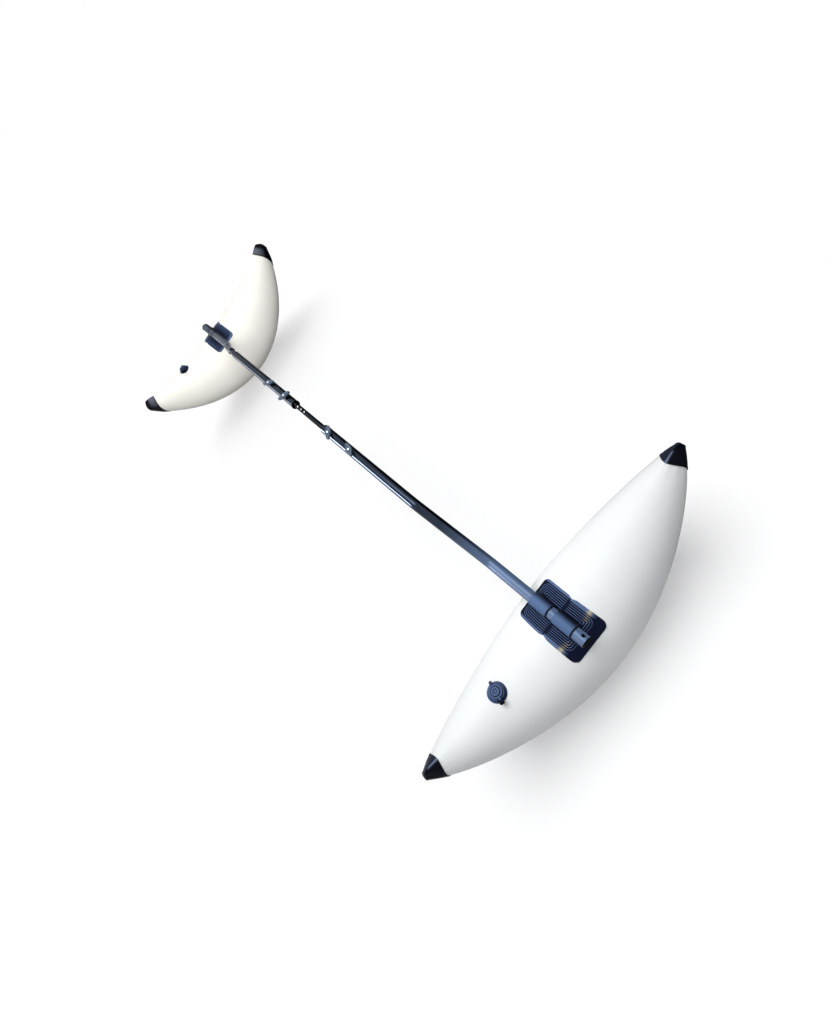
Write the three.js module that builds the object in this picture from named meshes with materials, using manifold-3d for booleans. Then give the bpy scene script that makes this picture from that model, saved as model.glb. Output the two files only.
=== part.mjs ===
// Kayak outrigger: two inflated floats on a cranked telescopic aluminium pole.
// Millimetres. +Z is up and the floats' bellies rest on Z = 0. The pole runs along X,
// with the near float at +X and the far float at -X. Both floats run along Y.
import * as THREE from 'three';
import { mergeVertices } from 'three/addons/utils/BufferGeometryUtils.js';
import Module from 'manifold-3d';

// Float hull
const floatLength = 1000;
const floatRadius = 149;
const floatRise = 211;
const floatEndHalfHeight = 29.5;
const floatEndHalfWidth = 21;
const floatRidgeShare = 0.45;
const ridgePower = 6;
const floatTipPinch = { width: 12, height: 4 };
const stationSpread = 0.15;
const floatWall = 1.2;
const floatSpacing = 2258;
const tipPower = 16;
const bellyFlat = 0.5;

// Seats between pieces, and how far cutting shapes run past what they cut
const seatGap = 0.3;
const cutOverrun = 2;

// End caps, measured back from the end edge of the float
const capWall = 2.5;
const capTopReach = 33;
const capSideReach = 39;
const capKeelReach = 88;
const capShoulder = 40.5;
const capKeelDrop = 59;

// Arms
const armDiameter = 32;
const armWall = 1.8;
const armDrop = 100;
const armOverFloat = 8;
const armPastFloat = { near: 95, far: 64 };
const bendRadius = 60;
const farPinch = { share: 0.6, inset: 20, reach: 16, stationShares: [0.5, 1, 1.5, 2.5] };
const lowerRun = 223;
const slopeRun = 251;
const nearMouth = 150;
const farMouth = 64;
const pinHoleDiameter = 8;
const pinHoleInset = 12;
const pinHoleTiltDeg = 30;

// End plugs, and the bushes in the arms' mouths
const plugRim = 2;
const plugLength = 6;
const bushFlangeDiameter = 34;
const bushFlangeThickness = 8;
const bushRound = 2;
const bushLength = 20;

// Centre rod
const rodDiameter = 19;
const rodWall = 1.5;
const rodNearLength = 200;
const rodFarLength = 226;
const rodHoleDiameter = 7;
const rodHolePitch = 24;
const rodHoleCount = 10;
const rodHoleStart = 160;
const guideLength = 15;
const guideSlot = 13;

// Clamp knobs
const nearKnobInset = 49;
const farKnobInset = 57;
const knobSpacing = 130;
const knobSpan = 54;
const knobWaist = 23;
const knobTip = 9;
const knobHeight = 9;
const knobTipTurnDeg = 60;
const knobAnglesDeg = { near_inner: -42, near_outer: -23, far_inner: 63, far_outer: 39 };
const studDiameter = 7.4;
const studProud = 1;
const insertFlangeDiameter = 18;
const insertFlangeThickness = 1.5;
const insertBodyDiameter = 11.4;
const insertLength = 3;

// Float mounts: moulded pads with tunnels for the arm
const padLength = 194;
const padWidth = 124;
const padEndSpread = 2;
const padThickness = 3.5;
const padCorner = 16;
const padNotch = 4;
const padNotchRun = 12;
const padSplit = 0.6;
const tunnelSpans = { outer: [1.5, 58], inner: [18, 71] };
const tunnelWall = 2.5;
const tunnelFlare = 4;
const ringSection = 4;

// Valve, measured from the float's skin
const valveStationShare = -0.575;
const valveTurnDeg = -14;
const valveFlangeDiameter = 53;
const valveFlangeThickness = 2.5;
const valveCollarDiameter = 42;
const valveCollarHeight = 7;
const valveBoreDiameter = 31;
const valveRimDiameter = 40;
const valveRimHeight = 3;
const valveBodyDepth = 16;
const valveBodyWall = 3;
const spiderWidth = 5;
const spiderThickness = 2.5;
const flapDiameter = 24;
const flapThickness = 1.4;
const flapStemDiameter = 3;
const flapBulbDiameter = 4.6;
const capDiameter = 34;
const capSkirt = 4;
const capSkirtTaper = 1;
const capHeight = 5;
const capCrown = 3;
const capButtonDiameter = 21;
const hingeReach = 30;
const hingePinDiameter = 5;
const hingeWidth = 9;
const hingeClear = 1;
const hingeEarThickness = 3;
const capTabReach = 35;
const capTabWidth = 9;
const capTabThickness = 2.6;

// How finely the round shapes are cut
const hullStations = 24;
const hullSides = 28;
const tubeSides = 24;
const boreSides = 20;
const bendSteps = 4;
const smallSides = 12;
const roundSides = 24;
const ringSides = 8;
const cornerSegments = 5;

// Places worked out from the sizes above
const armRadius = armDiameter / 2;
const armBoreRadius = armRadius - armWall;
const rodRadius = rodDiameter / 2;
const floatX = floatSpacing / 2;
const floatZ = floatRadius - bellyFlat;
const lowerZ = floatZ + floatRadius + armOverFloat + armRadius;
const upperZ = lowerZ + armDrop;
const lowerBendX = floatX - lowerRun;
const upperBendX = lowerBendX - slopeRun;

const finish = (color, roughness, metalness) => () =>
  new THREE.MeshStandardMaterial({ color, roughness, metalness });
const whitePvc = finish(0xe6e9ee, 0.45, 0);
const blackPvc = finish(0x12141a, 0.5, 0);
const navyRubber = finish(0x18213a, 0.42, 0);
const blackRubber = finish(0x0d0e12, 0.6, 0);
const anodised = finish(0x2c3848, 0.35, 0.85);
const darkRod = finish(0x1d232c, 0.4, 0.8);
const blackPlastic = finish(0x0c0d10, 0.5, 0);
const knobPlastic = finish(0x5b6f92, 0.45, 0.1);
const stainless = finish(0xd9dce0, 0.22, 1);
const valvePlastic = finish(0x2a3b66, 0.4, 0);

const wasm = await Module();
wasm.setup();

// Turns a closed three.js geometry into a solid that can be joined and cut.
function toSolid(geometry) {
  const bare = geometry.index ? geometry.toNonIndexed() : geometry.clone();
  bare.deleteAttribute('normal');
  bare.deleteAttribute('uv');
  const merged = mergeVertices(bare);
  return new wasm.Manifold(new wasm.Mesh({
    numProp: 3,
    vertProperties: Float32Array.from(merged.attributes.position.array),
    triVerts: Uint32Array.from(merged.index.array),
  }));
}

function toGeometry(solid) {
  const mesh = solid.getMesh();
  const geometry = new THREE.BufferGeometry();
  geometry.setAttribute('position', new THREE.BufferAttribute(mesh.vertProperties, mesh.numProp));
  geometry.setIndex(new THREE.BufferAttribute(mesh.triVerts, 1));
  geometry.computeVertexNormals();
  return geometry;
}

const solidOf = (geometry, place = new THREE.Matrix4()) => toSolid(geometry.clone().applyMatrix4(place));
const moved = (x, y, z) => new THREE.Matrix4().makeTranslation(x, y, z);
const alongZ = new THREE.Matrix4().makeRotationX(Math.PI / 2);

// The largest radius that stays clear inside a faceted bore, and the bore radius that
// stays clear round a shaft.
const insideBore = (radius, sides) => radius * Math.cos(Math.PI / sides) - seatGap;
const roundShaft = (radius, sides) => (radius + seatGap) / Math.cos(Math.PI / sides);

// A solid of revolution about Z from [radius, height] pairs that start and end on the
// axis, or that close on themselves.
function turned(profile, sides = roundSides, closed = false) {
  const points = profile.map(([radius, height]) => new THREE.Vector2(radius, height));
  if (closed) points.push(points[0].clone());
  return new THREE.LatheGeometry(points, sides).applyMatrix4(alongZ);
}

// A washer-like ring about Z between two heights.
function sleeve(inner, outer, low, high, sides = roundSides) {
  return turned([[inner, low], [outer, low], [outer, high], [inner, high]], sides, true);
}

function rod(radius, low, high, sides = roundSides) {
  return turned([[0, low], [radius, low], [radius, high], [0, high]], sides);
}

function block(x0, x1, y0, y1, z0, z1) {
  const box = new THREE.BoxGeometry(x1 - x0, y1 - y0, z1 - z0);
  return box.translate((x0 + x1) / 2, (y0 + y1) / 2, (z0 + z1) / 2);
}

function named(name, geometry, material) {
  const mesh = new THREE.Mesh(geometry, material());
  mesh.name = name;
  return mesh;
}

const tapered = (share, end) => end + (floatRadius - end) * (1 - share * share);

// The float's centre line is a parabola in the YZ plane. Its half height and half width
// fall off as parabolas from the middle, with the very tips pinched a little further.
// Share runs from -1 to 1.
function hullFrame(share) {
  const slope = Math.atan((2 * floatRise * share) / (floatLength / 2));
  return {
    centre: new THREE.Vector3(0, (floatLength / 2) * share, floatRise * share * share),
    along: new THREE.Vector3(0, Math.cos(slope), Math.sin(slope)),
    up: new THREE.Vector3(0, -Math.sin(slope), Math.cos(slope)),
    halfHeight: tapered(share, floatEndHalfHeight) - floatTipPinch.height * share ** tipPower,
    halfWidth: tapered(share, floatEndHalfWidth) - floatTipPinch.width * share ** tipPower,
    power: 1 + floatRidgeShare * share ** ridgePower,
  };
}

// One cross-section of the float, grown outwards by an offset. The end sections move
// out along the centre line by the same offset.
function hullRing(share, offset) {
  const frame = hullFrame(share);
  const shift = Math.abs(share) === 1 ? Math.sign(share) * offset : 0;
  const ring = [];
  for (let side = 0; side < hullSides; side += 1) {
    const angle = (2 * Math.PI * side) / hullSides;
    const up = Math.sign(Math.cos(angle)) * Math.abs(Math.cos(angle)) ** frame.power;
    const out = Math.sign(Math.sin(angle)) * Math.abs(Math.sin(angle)) ** frame.power;
    ring.push(frame.centre.clone()
      .addScaledVector(frame.along, shift)
      .addScaledVector(frame.up, up * (frame.halfHeight + offset))
      .add(new THREE.Vector3(out * (frame.halfWidth + offset), 0, 0)));
  }
  return ring;
}

// A closed skin over a list of rings, with a flat fan at each end.
function skinned(rings) {
  const count = rings[0].length;
  const points = rings.flat();
  const index = [];
  for (let row = 0; row < rings.length - 1; row += 1) {
    for (let side = 0; side < count; side += 1) {
      const a = row * count + side;
      const b = row * count + ((side + 1) % count);
      index.push(a, b, b + count, a, b + count, a + count);
    }
  }
  for (const [row, flip] of [[0, true], [rings.length - 1, false]]) {
    const middle = rings[row].reduce((sum, p) => sum.add(p), new THREE.Vector3()).divideScalar(count);
    points.push(middle);
    for (let side = 0; side < count; side += 1) {
      const a = row * count + side;
      const b = row * count + ((side + 1) % count);
      index.push(points.length - 1, flip ? b : a, flip ? a : b);
    }
  }
  return new THREE.BufferGeometry().setFromPoints(points).setIndex(index);
}

function hullSolid(offset) {
  const rings = [];
  for (let station = 0; station <= hullStations; station += 1) {
    const even = (2 * station) / hullStations - 1;
    rings.push(hullRing(even * (1 + stationSpread * (1 - even * even)), offset));
  }
  return toSolid(skinned(rings));
}

const hullOutside = hullSolid(0);
const hullSeat = hullSolid(seatGap);

// The valve's own frame: on the crest of the float, with Z along the skin's normal.
function valvePlace() {
  const crest = (share) => {
    const frame = hullFrame(share);
    return frame.centre.clone().addScaledVector(frame.up, frame.halfHeight);
  };
  const shareStep = 1 / hullStations;
  const here = crest(valveStationShare);
  const run = crest(valveStationShare + shareStep).sub(crest(valveStationShare - shareStep));
  return new THREE.Matrix4()
    .makeTranslation(here.x, here.y, here.z)
    .multiply(new THREE.Matrix4().makeRotationX(Math.atan2(run.z, run.y)))
    .multiply(new THREE.Matrix4().makeRotationZ(THREE.MathUtils.degToRad(valveTurnDeg)));
}

const atValve = valvePlace();

function floatHull() {
  const hole = solidOf(rod(valveBoreDiameter / 2, -floatRadius / 2, floatRadius / 2), atValve);
  const below = solidOf(block(-floatRadius, floatRadius, -floatLength, floatLength,
    -floatRadius - cutOverrun, -floatZ));
  return hullOutside.subtract(hullSolid(-floatWall)).subtract(hole).subtract(below);
}

// A cap shell over one end of the float. Its edge is a shallow chevron that reaches
// further back along the keel.
function endCap(end) {
  const frame = hullFrame(end);
  const across = floatRadius;
  const outline = [
    [-capWall - seatGap - cutOverrun, across],
    [capTopReach, across],
    [capTopReach, capShoulder],
    [capSideReach, 0],
    [capKeelReach, -capKeelDrop],
    [capKeelReach, -across],
    [-capWall - seatGap - cutOverrun, -across],
  ];
  const shape = new THREE.Shape(outline.map(([back, up]) => new THREE.Vector2(-back, up)));
  const prism = new THREE.ExtrudeGeometry(shape, { depth: floatRadius, bevelEnabled: false });
  prism.translate(0, 0, -floatRadius / 2);
  const basis = new THREE.Matrix4().makeBasis(
    frame.along.clone().multiplyScalar(end), frame.up,
    new THREE.Vector3().crossVectors(frame.along.clone().multiplyScalar(end), frame.up));
  basis.setPosition(frame.centre);
  return hullSolid(seatGap + capWall).subtract(hullSeat).intersect(solidOf(prism, basis));
}

const tunnelBoreRadius = roundShaft(armRadius, tubeSides);
const tunnelRadius = tunnelBoreRadius + tunnelWall;
const armAxis = floatRadius + armOverFloat + armRadius;

// Half of the mount pad's outline, from the split at the middle out to the rounded end,
// for the +X pad.
function padOutline(spread) {
  const halfWidth = padWidth / 2;
  const start = padSplit / 2;
  const end = padLength / 2;
  const wide = halfWidth + spread;
  const shape = new THREE.Shape();
  shape.moveTo(start, -halfWidth + padNotch);
  shape.lineTo(start + padNotchRun, -halfWidth);
  shape.lineTo(end - padCorner, -wide);
  shape.absarc(end - padCorner, -wide + padCorner, padCorner, -Math.PI / 2, 0, false);
  shape.lineTo(end, wide - padCorner);
  shape.absarc(end - padCorner, wide - padCorner, padCorner, 0, Math.PI / 2, false);
  shape.lineTo(start + padNotchRun, halfWidth);
  shape.lineTo(start, halfWidth - padNotch);
  shape.closePath();
  return shape;
}

// A moulded pad that follows the float's skin and carries a tunnel for the arm.
function mountPad(where, side) {
  const outline = padOutline(where === 'outer' ? padEndSpread : 0);
  const prism = new THREE.ExtrudeGeometry(outline, {
    depth: armAxis, bevelEnabled: false, curveSegments: cornerSegments,
  });
  const [tunnelStart, tunnelEnd] = tunnelSpans[where];
  const tunnelLength = tunnelEnd - tunnelStart;
  const place = new THREE.Matrix4().makeTranslation(tunnelStart, 0, armAxis).multiply(
    new THREE.Matrix4().makeRotationY(Math.PI / 2));
  const foot = new THREE.Shape([
    new THREE.Vector2(-tunnelRadius, 0),
    new THREE.Vector2(-tunnelRadius - tunnelFlare, armOverFloat + 2 * armRadius),
    new THREE.Vector2(tunnelRadius + tunnelFlare, armOverFloat + 2 * armRadius),
    new THREE.Vector2(tunnelRadius, 0),
  ]);
  const web = new THREE.ExtrudeGeometry(foot, { depth: tunnelLength, bevelEnabled: false });
  web.applyMatrix4(new THREE.Matrix4().makeBasis(
    new THREE.Vector3(0, 1, 0), new THREE.Vector3(0, 0, -1), new THREE.Vector3(-1, 0, 0)));
  const bore = rod(tunnelBoreRadius, -cutOverrun, tunnelLength + cutOverrun);
  const solid = solidOf(prism)
    .intersect(hullSolid(seatGap + padThickness))
    .add(solidOf(rod(tunnelRadius, 0, tunnelLength), place))
    .add(solidOf(web, moved(tunnelEnd, 0, armAxis)))
    .subtract(hullSeat)
    .subtract(solidOf(bore, place));
  return side > 0 ? solid : solid.mirror([1, 0, 0]);
}

// A rubber ring of round section that grips the arm at a tunnel's outer mouth.
function gripRing() {
  const section = ringSection / 2;
  const middle = tunnelBoreRadius + section;
  const profile = [];
  for (let step = 0; step < ringSides; step += 1) {
    const angle = (Math.PI * (2 * step + 1)) / ringSides;
    profile.push([middle + section * Math.cos(angle), section * Math.sin(angle)]);
  }
  return turned(profile, boreSides, true);
}

// Welded valve base: a flange that follows the skin, a collar, and the bore.
function valveBase() {
  const flange = hullSolid(seatGap + valveFlangeThickness)
    .intersect(solidOf(rod(valveFlangeDiameter / 2, -valveFlangeDiameter, valveFlangeDiameter), atValve));
  const collar = solidOf(rod(valveCollarDiameter / 2, -valveCollarHeight, valveCollarHeight), atValve);
  const boreStart = -valveFlangeDiameter - cutOverrun;
  const bore = solidOf(rod(valveBoreDiameter / 2, boreStart, valveFlangeDiameter), atValve);
  return flange.add(collar).subtract(hullSeat).subtract(bore);
}

const valveTop = valveCollarHeight + seatGap + valveRimHeight;
const valveBodyRadius = insideBore(valveBoreDiameter / 2, roundSides);
const valveThroat = valveBodyRadius - valveBodyWall;
const hingeZ = valveTop + hingePinDiameter / 2;

// Screw-in valve body: rim, barrel, a cross bar that holds the flap, and two hinge ears.
function valveBody() {
  const barrel = solidOf(sleeve(valveThroat, valveBodyRadius, -valveBodyDepth, valveTop));
  const rim = solidOf(sleeve(valveThroat, valveRimDiameter / 2, valveCollarHeight + seatGap, valveTop));
  const barEnd = valveThroat + valveBodyWall / 2;
  const bar = solidOf(block(-barEnd, barEnd, -spiderWidth / 2, spiderWidth / 2,
    -valveBodyDepth, -valveBodyDepth + spiderThickness));
  const stemHole = solidOf(rod(roundShaft(flapStemDiameter / 2, smallSides),
    -valveBodyDepth - cutOverrun, -valveBodyDepth + spiderThickness + cutOverrun, smallSides));
  let body = barrel.add(rim).add(bar).subtract(stemHole);
  const earStart = hingeWidth / 2 + seatGap;
  for (const side of [-1, 1]) {
    const low = side > 0 ? earStart : -earStart - hingeEarThickness;
    body = body.add(solidOf(block(capDiameter / 2 + hingeClear, hingeReach + hingePinDiameter / 2,
      low, low + hingeEarThickness, valveCollarHeight + seatGap, hingeZ + hingePinDiameter / 2)));
  }
  return body;
}

// One-way rubber flap: a disc under the cross bar, with a stem and a bulb above it.
function valveFlap() {
  const underBar = -valveBodyDepth - seatGap;
  const overBar = -valveBodyDepth + spiderThickness + seatGap;
  return turned([
    [0, underBar - flapThickness], [flapDiameter / 2, underBar - flapThickness], [flapDiameter / 2, underBar],
    [flapStemDiameter / 2, underBar], [flapStemDiameter / 2, overBar], [flapBulbDiameter / 2, overBar],
    [flapStemDiameter / 2, overBar + flapBulbDiameter / 2], [0, overBar + flapBulbDiameter / 2],
  ], smallSides);
}

// Flip-over valve cap: stepped dome with a centre button, a skirt that plugs the
// throat, a hinge knuckle and a pull tab.
function valveCap() {
  const bottom = valveTop + seatGap;
  const skirt = insideBore(valveThroat, roundSides);
  const dome = solidOf(turned([
    [0, bottom - capSkirt], [skirt - capSkirtTaper, bottom - capSkirt], [skirt, bottom],
    [capDiameter / 2, bottom], [capDiameter / 2, bottom + capHeight],
    [capButtonDiameter / 2, bottom + capHeight],
    [capButtonDiameter / 2, bottom + capHeight + capCrown], [0, bottom + capHeight + capCrown],
  ]));
  const knuckle = solidOf(rod(hingePinDiameter / 2, -hingeWidth / 2, hingeWidth / 2, smallSides),
    moved(hingeReach, 0, hingeZ).multiply(new THREE.Matrix4().makeRotationX(Math.PI / 2)));
  const strap = solidOf(block(capButtonDiameter / 2, hingeReach, -hingeWidth / 2, hingeWidth / 2,
    bottom, bottom + capTabThickness));
  const tab = solidOf(block(-capTabReach, -capButtonDiameter / 2, -capTabWidth / 2, capTabWidth / 2,
    bottom, bottom + capTabThickness));
  return dome.add(knuckle).add(strap).add(tab);
}

// A path made of stations, each with its own direction, so that straight runs take one
// step and bends take several.
class StationPath extends THREE.Curve {
  constructor(stations) {
    super();
    this.stations = stations;
  }

  getPoint(t, target = new THREE.Vector3()) {
    const place = t * (this.stations.length - 1);
    const low = Math.min(Math.floor(place), this.stations.length - 2);
    return target.lerpVectors(this.stations[low].point, this.stations[low + 1].point, place - low);
  }

  getTangent(t, target = new THREE.Vector3()) {
    return target.copy(this.stations[Math.round(t * (this.stations.length - 1))].along);
  }

  getUtoTmapping(u) {
    return u;
  }
}

// The stations of a path through corner points in the XZ plane, with round bends. Leads
// are extra stations on the first straight, given as distances from its bend.
function bentPath(corners, leads) {
  const stations = [];
  const add = (point, along) => stations.push({ point: point.clone(), along: along.clone() });
  const run = (from, to) => to.clone().sub(from).normalize();
  add(corners[0], run(corners[0], corners[1]));
  for (let corner = 1; corner < corners.length - 1; corner += 1) {
    const before = run(corners[corner - 1], corners[corner]);
    const after = run(corners[corner], corners[corner + 1]);
    const turn = Math.acos(before.dot(after));
    const reach = bendRadius * Math.tan(turn / 2);
    const axis = new THREE.Vector3().crossVectors(before, after).normalize();
    const start = corners[corner].clone().addScaledVector(before, -reach);
    const inward = new THREE.Vector3().crossVectors(axis, before);
    const centre = start.clone().addScaledVector(inward, bendRadius);
    if (corner === 1) {
      for (const lead of leads.toReversed()) add(start.clone().addScaledVector(before, -lead), before);
    }
    for (let step = 0; step <= bendSteps; step += 1) {
      const angle = (turn * step) / bendSteps;
      const arm = start.clone().sub(centre).applyAxisAngle(axis, angle);
      add(centre.clone().add(arm), before.clone().applyAxisAngle(axis, angle));
    }
  }
  add(corners.at(-1), run(corners.at(-2), corners.at(-1)));
  return new StationPath(stations);
}

function roundSection(radius, sides) {
  const points = [];
  for (let side = 0; side < sides; side += 1) {
    const angle = (2 * Math.PI * side) / sides;
    points.push(new THREE.Vector2(radius * Math.cos(angle), radius * Math.sin(angle)));
  }
  return points;
}

// Narrows a tube just before its upper bend, where it was pressed flat in bending.
function pinched(tube, pinch) {
  const position = tube.attributes.position;
  for (let vertex = 0; vertex < position.count; vertex += 1) {
    const away = (Math.abs(position.getX(vertex)) - upperBendX + pinch.inset) / pinch.reach;
    position.setY(vertex, position.getY(vertex) * (1 - pinch.share * Math.exp(-away * away)));
  }
  return tube;
}

// One cranked arm tube, drilled for its clamp screws and for the pin at its outer end.
function armTube(side, mouth, end, knobPlaces, pinch) {
  const corners = [
    [mouth, upperZ], [upperBendX, upperZ], [lowerBendX, lowerZ], [end, lowerZ],
  ].map(([x, z]) => new THREE.Vector3(side * x, 0, z));
  const path = bentPath(corners, pinch ? pinch.stationShares.map((share) => share * pinch.reach) : []);
  const section = new THREE.Shape(roundSection(armRadius, tubeSides));
  section.holes.push(new THREE.Path(roundSection(armBoreRadius, boreSides)));
  const tube = new THREE.ExtrudeGeometry(section, {
    steps: path.stations.length - 1, extrudePath: path, bevelEnabled: false,
  });
  let solid = toSolid(pinch ? pinched(tube, pinch) : tube);
  const insertHole = roundShaft(insertBodyDiameter / 2, smallSides);
  for (const x of knobPlaces) {
    const drill = rod(insertHole, 0, armRadius + cutOverrun, smallSides);
    solid = solid.subtract(solidOf(drill, moved(x, 0, upperZ)));
  }
  const pinReach = armRadius + cutOverrun;
  const pinPlace = moved(side * (end - pinHoleInset), 0, lowerZ)
    .multiply(new THREE.Matrix4().makeRotationX(-THREE.MathUtils.degToRad(pinHoleTiltDeg)));
  return solid.subtract(solidOf(rod(pinHoleDiameter / 2, -pinReach, pinReach, smallSides), pinPlace));
}

const plugInsertRadius = insideBore(armBoreRadius, boreSides);

function endPlug() {
  return turned([
    [0, -plugLength], [plugInsertRadius, -plugLength], [plugInsertRadius, seatGap], [armRadius, seatGap],
    [armRadius, seatGap + plugRim], [0, seatGap + plugRim],
  ], tubeSides);
}

const rodSeatRadius = roundShaft(rodRadius, tubeSides);

// The near arm's bush sits flush inside its mouth, and the far one is a collar with a
// rounded flange outside it.
const nearBush = () => sleeve(rodSeatRadius, plugInsertRadius, -bushLength, 0, tubeSides);

function farBush() {
  const flange = bushFlangeDiameter / 2;
  const end = seatGap + bushFlangeThickness;
  return turned([
    [rodSeatRadius, -bushLength], [plugInsertRadius, -bushLength], [plugInsertRadius, seatGap],
    [flange - bushRound, seatGap], [flange, seatGap + bushRound], [flange, end - bushRound],
    [flange - bushRound, end], [rodSeatRadius, end],
  ], tubeSides, true);
}

const rodNearX = nearMouth + rodNearLength;
const rodFarX = -farMouth - rodFarLength;

// The telescopic rod, with a row of adjusting holes through both walls.
function centreRod() {
  const tube = sleeve(rodRadius - rodWall, rodRadius, rodFarX, rodNearX, boreSides);
  const holeReach = rodRadius + cutOverrun;
  const lying = moved(0, 0, upperZ).multiply(new THREE.Matrix4().makeRotationY(Math.PI / 2));
  let solid = solidOf(tube, lying);
  for (let hole = 0; hole < rodHoleCount; hole += 1) {
    const x = nearMouth - rodHoleStart - rodHolePitch * hole;
    const drill = rod(rodHoleDiameter / 2, -holeReach, holeReach, smallSides);
    solid = solid.subtract(solidOf(drill, moved(x, 0, upperZ)));
  }
  return solid;
}

// A bright bar inside the rod, seen through the adjusting holes.
function rodCore() {
  const radius = insideBore(rodRadius - rodWall, boreSides);
  return rod(radius, rodFarX + guideLength, rodNearX - guideLength, boreSides).rotateY(Math.PI / 2);
}

// A guide ring on the rod's end, slotted on top so that it passes the clamp screws.
function rodGuide() {
  const ring = solidOf(sleeve(roundShaft(rodRadius, roundSides), plugInsertRadius, 0, guideLength));
  const slotEnd = guideLength + cutOverrun;
  const slot = solidOf(block(-armRadius, 0, -guideSlot / 2, guideSlot / 2, -cutOverrun, slotEnd));
  return ring.subtract(slot);
}

// Heights of the clamp's pieces over the pole's axis.
const insertTop = armRadius + seatGap + insertFlangeThickness;
const knobBottom = insertTop + seatGap;
const knobTop = knobBottom + knobHeight;
const studTip = rodRadius + seatGap;

function clampInsert() {
  const bore = roundShaft(studDiameter / 2, smallSides);
  const low = armBoreRadius - insertLength;
  const seat = armRadius + seatGap;
  return turned([
    [bore, low], [insertBodyDiameter / 2, low], [insertBodyDiameter / 2, seat],
    [insertFlangeDiameter / 2, seat], [insertFlangeDiameter / 2, insertTop], [bore, insertTop],
  ], smallSides, true);
}

function clampKnob() {
  const reach = (knobSpan - knobTip) / 2;
  const tip = knobTip / 2;
  const turn = THREE.MathUtils.degToRad(knobTipTurnDeg);
  const shape = new THREE.Shape();
  shape.moveTo(0, -knobWaist / 2);
  shape.absarc(reach, 0, tip, -turn, turn, false);
  shape.lineTo(0, knobWaist / 2);
  shape.absarc(-reach, 0, tip, Math.PI - turn, Math.PI + turn, false);
  shape.closePath();
  const wings = new THREE.ExtrudeGeometry(shape, {
    depth: knobHeight, bevelEnabled: false, curveSegments: cornerSegments,
  });
  wings.translate(0, 0, knobBottom);
  const boreRadius = roundShaft(studDiameter / 2, smallSides);
  const bore = rod(boreRadius, knobBottom - cutOverrun, knobTop + cutOverrun, smallSides);
  return solidOf(wings).subtract(solidOf(bore));
}

function clampStud() {
  const radius = studDiameter / 2;
  return turned([
    [0, studTip], [radius - studProud, studTip], [radius, studTip + studProud],
    [radius, knobTop], [radius - studProud, knobTop + studProud], [0, knobTop + studProud],
  ], smallSides);
}

const outrigger = new THREE.Group();

// One arm with its plug, bush, clamp inserts, knobs and studs.
function addArm(label, side, mouth, inset, mouthBush, pinch) {
  const end = floatX + armPastFloat[label];
  const places = { inner: side * (mouth + inset), outer: side * (mouth + inset + knobSpacing) };
  const tube = armTube(side, mouth, end, Object.values(places), pinch);
  outrigger.add(named(`${label}_arm`, toGeometry(tube), anodised));
  const lying = new THREE.Matrix4().makeRotationY((side * Math.PI) / 2);
  const plug = named(`${label}_end_plug`, endPlug().applyMatrix4(lying), blackPlastic);
  plug.position.set(side * end, 0, lowerZ);
  const lyingBack = new THREE.Matrix4().makeRotationY((-side * Math.PI) / 2);
  const bush = named(`${label}_mouth_bush`, mouthBush().applyMatrix4(lyingBack), blackPlastic);
  bush.position.set(side * mouth, 0, upperZ);
  outrigger.add(plug, bush);
  for (const [where, x] of Object.entries(places)) {
    const clamp = new THREE.Group();
    clamp.position.set(x, 0, upperZ);
    clamp.add(named(`${label}_${where}_insert`, clampInsert(), stainless));
    const turning = new THREE.Group();
    turning.rotation.z = THREE.MathUtils.degToRad(knobAnglesDeg[`${label}_${where}`]);
    turning.add(named(`${label}_${where}_knob`, toGeometry(clampKnob()), knobPlastic));
    turning.add(named(`${label}_${where}_stud`, clampStud(), stainless));
    clamp.add(turning);
    outrigger.add(clamp);
  }
}

// One float with its end caps, mount pads, grip rings and valve.
function addFloat(label, side) {
  const group = new THREE.Group();
  group.position.set(side * floatX, 0, floatZ);
  group.add(named(`${label}_float`, toGeometry(floatHull()), whitePvc));
  group.add(named(`${label}_cap_front`, toGeometry(endCap(1)), blackPvc));
  group.add(named(`${label}_cap_back`, toGeometry(endCap(-1)), blackPvc));
  group.add(named(`${label}_mount_outer`, toGeometry(mountPad('outer', side)), navyRubber));
  group.add(named(`${label}_mount_inner`, toGeometry(mountPad('inner', -side)), navyRubber));
  const ringSeat = seatGap + ringSection / 2;
  const ringPlaces = { outer: tunnelSpans.outer[1] + ringSeat, inner: -tunnelSpans.inner[0] + ringSeat };
  for (const [where, x] of Object.entries(ringPlaces)) {
    const ring = named(`${label}_ring_${where}`, gripRing().rotateY(Math.PI / 2), blackRubber);
    ring.position.set(side * x, 0, armAxis);
    group.add(ring);
  }
  group.add(named(`${label}_valve_base`, toGeometry(valveBase()), valvePlastic));
  const valve = new THREE.Group();
  valve.applyMatrix4(atValve);
  valve.add(named(`${label}_valve_body`, toGeometry(valveBody()), valvePlastic));
  valve.add(named(`${label}_valve_flap`, valveFlap(), blackRubber));
  valve.add(named(`${label}_valve_cap`, toGeometry(valveCap()), valvePlastic));
  group.add(valve);
  outrigger.add(group);
}

addArm('near', 1, nearMouth, nearKnobInset, nearBush);
addArm('far', -1, farMouth, farKnobInset, farBush, farPinch);
outrigger.add(named('centre_rod', toGeometry(centreRod()), darkRod));
const core = named('rod_core', rodCore(), stainless);
core.position.z = upperZ;
outrigger.add(core);
for (const [label, x, side] of [['near', rodNearX, 1], ['far', rodFarX, -1]]) {
  const guide = named(`${label}_rod_guide`, toGeometry(rodGuide()).rotateY(Math.PI / 2), blackPlastic);
  guide.position.set(side > 0 ? x - guideLength : x, 0, upperZ);
  outrigger.add(guide);
}
addFloat('near', 1);
addFloat('far', -1);

export default outrigger;
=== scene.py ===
"""Kayak outrigger: every visible piece, its finish, the light and the camera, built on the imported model."""

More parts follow.
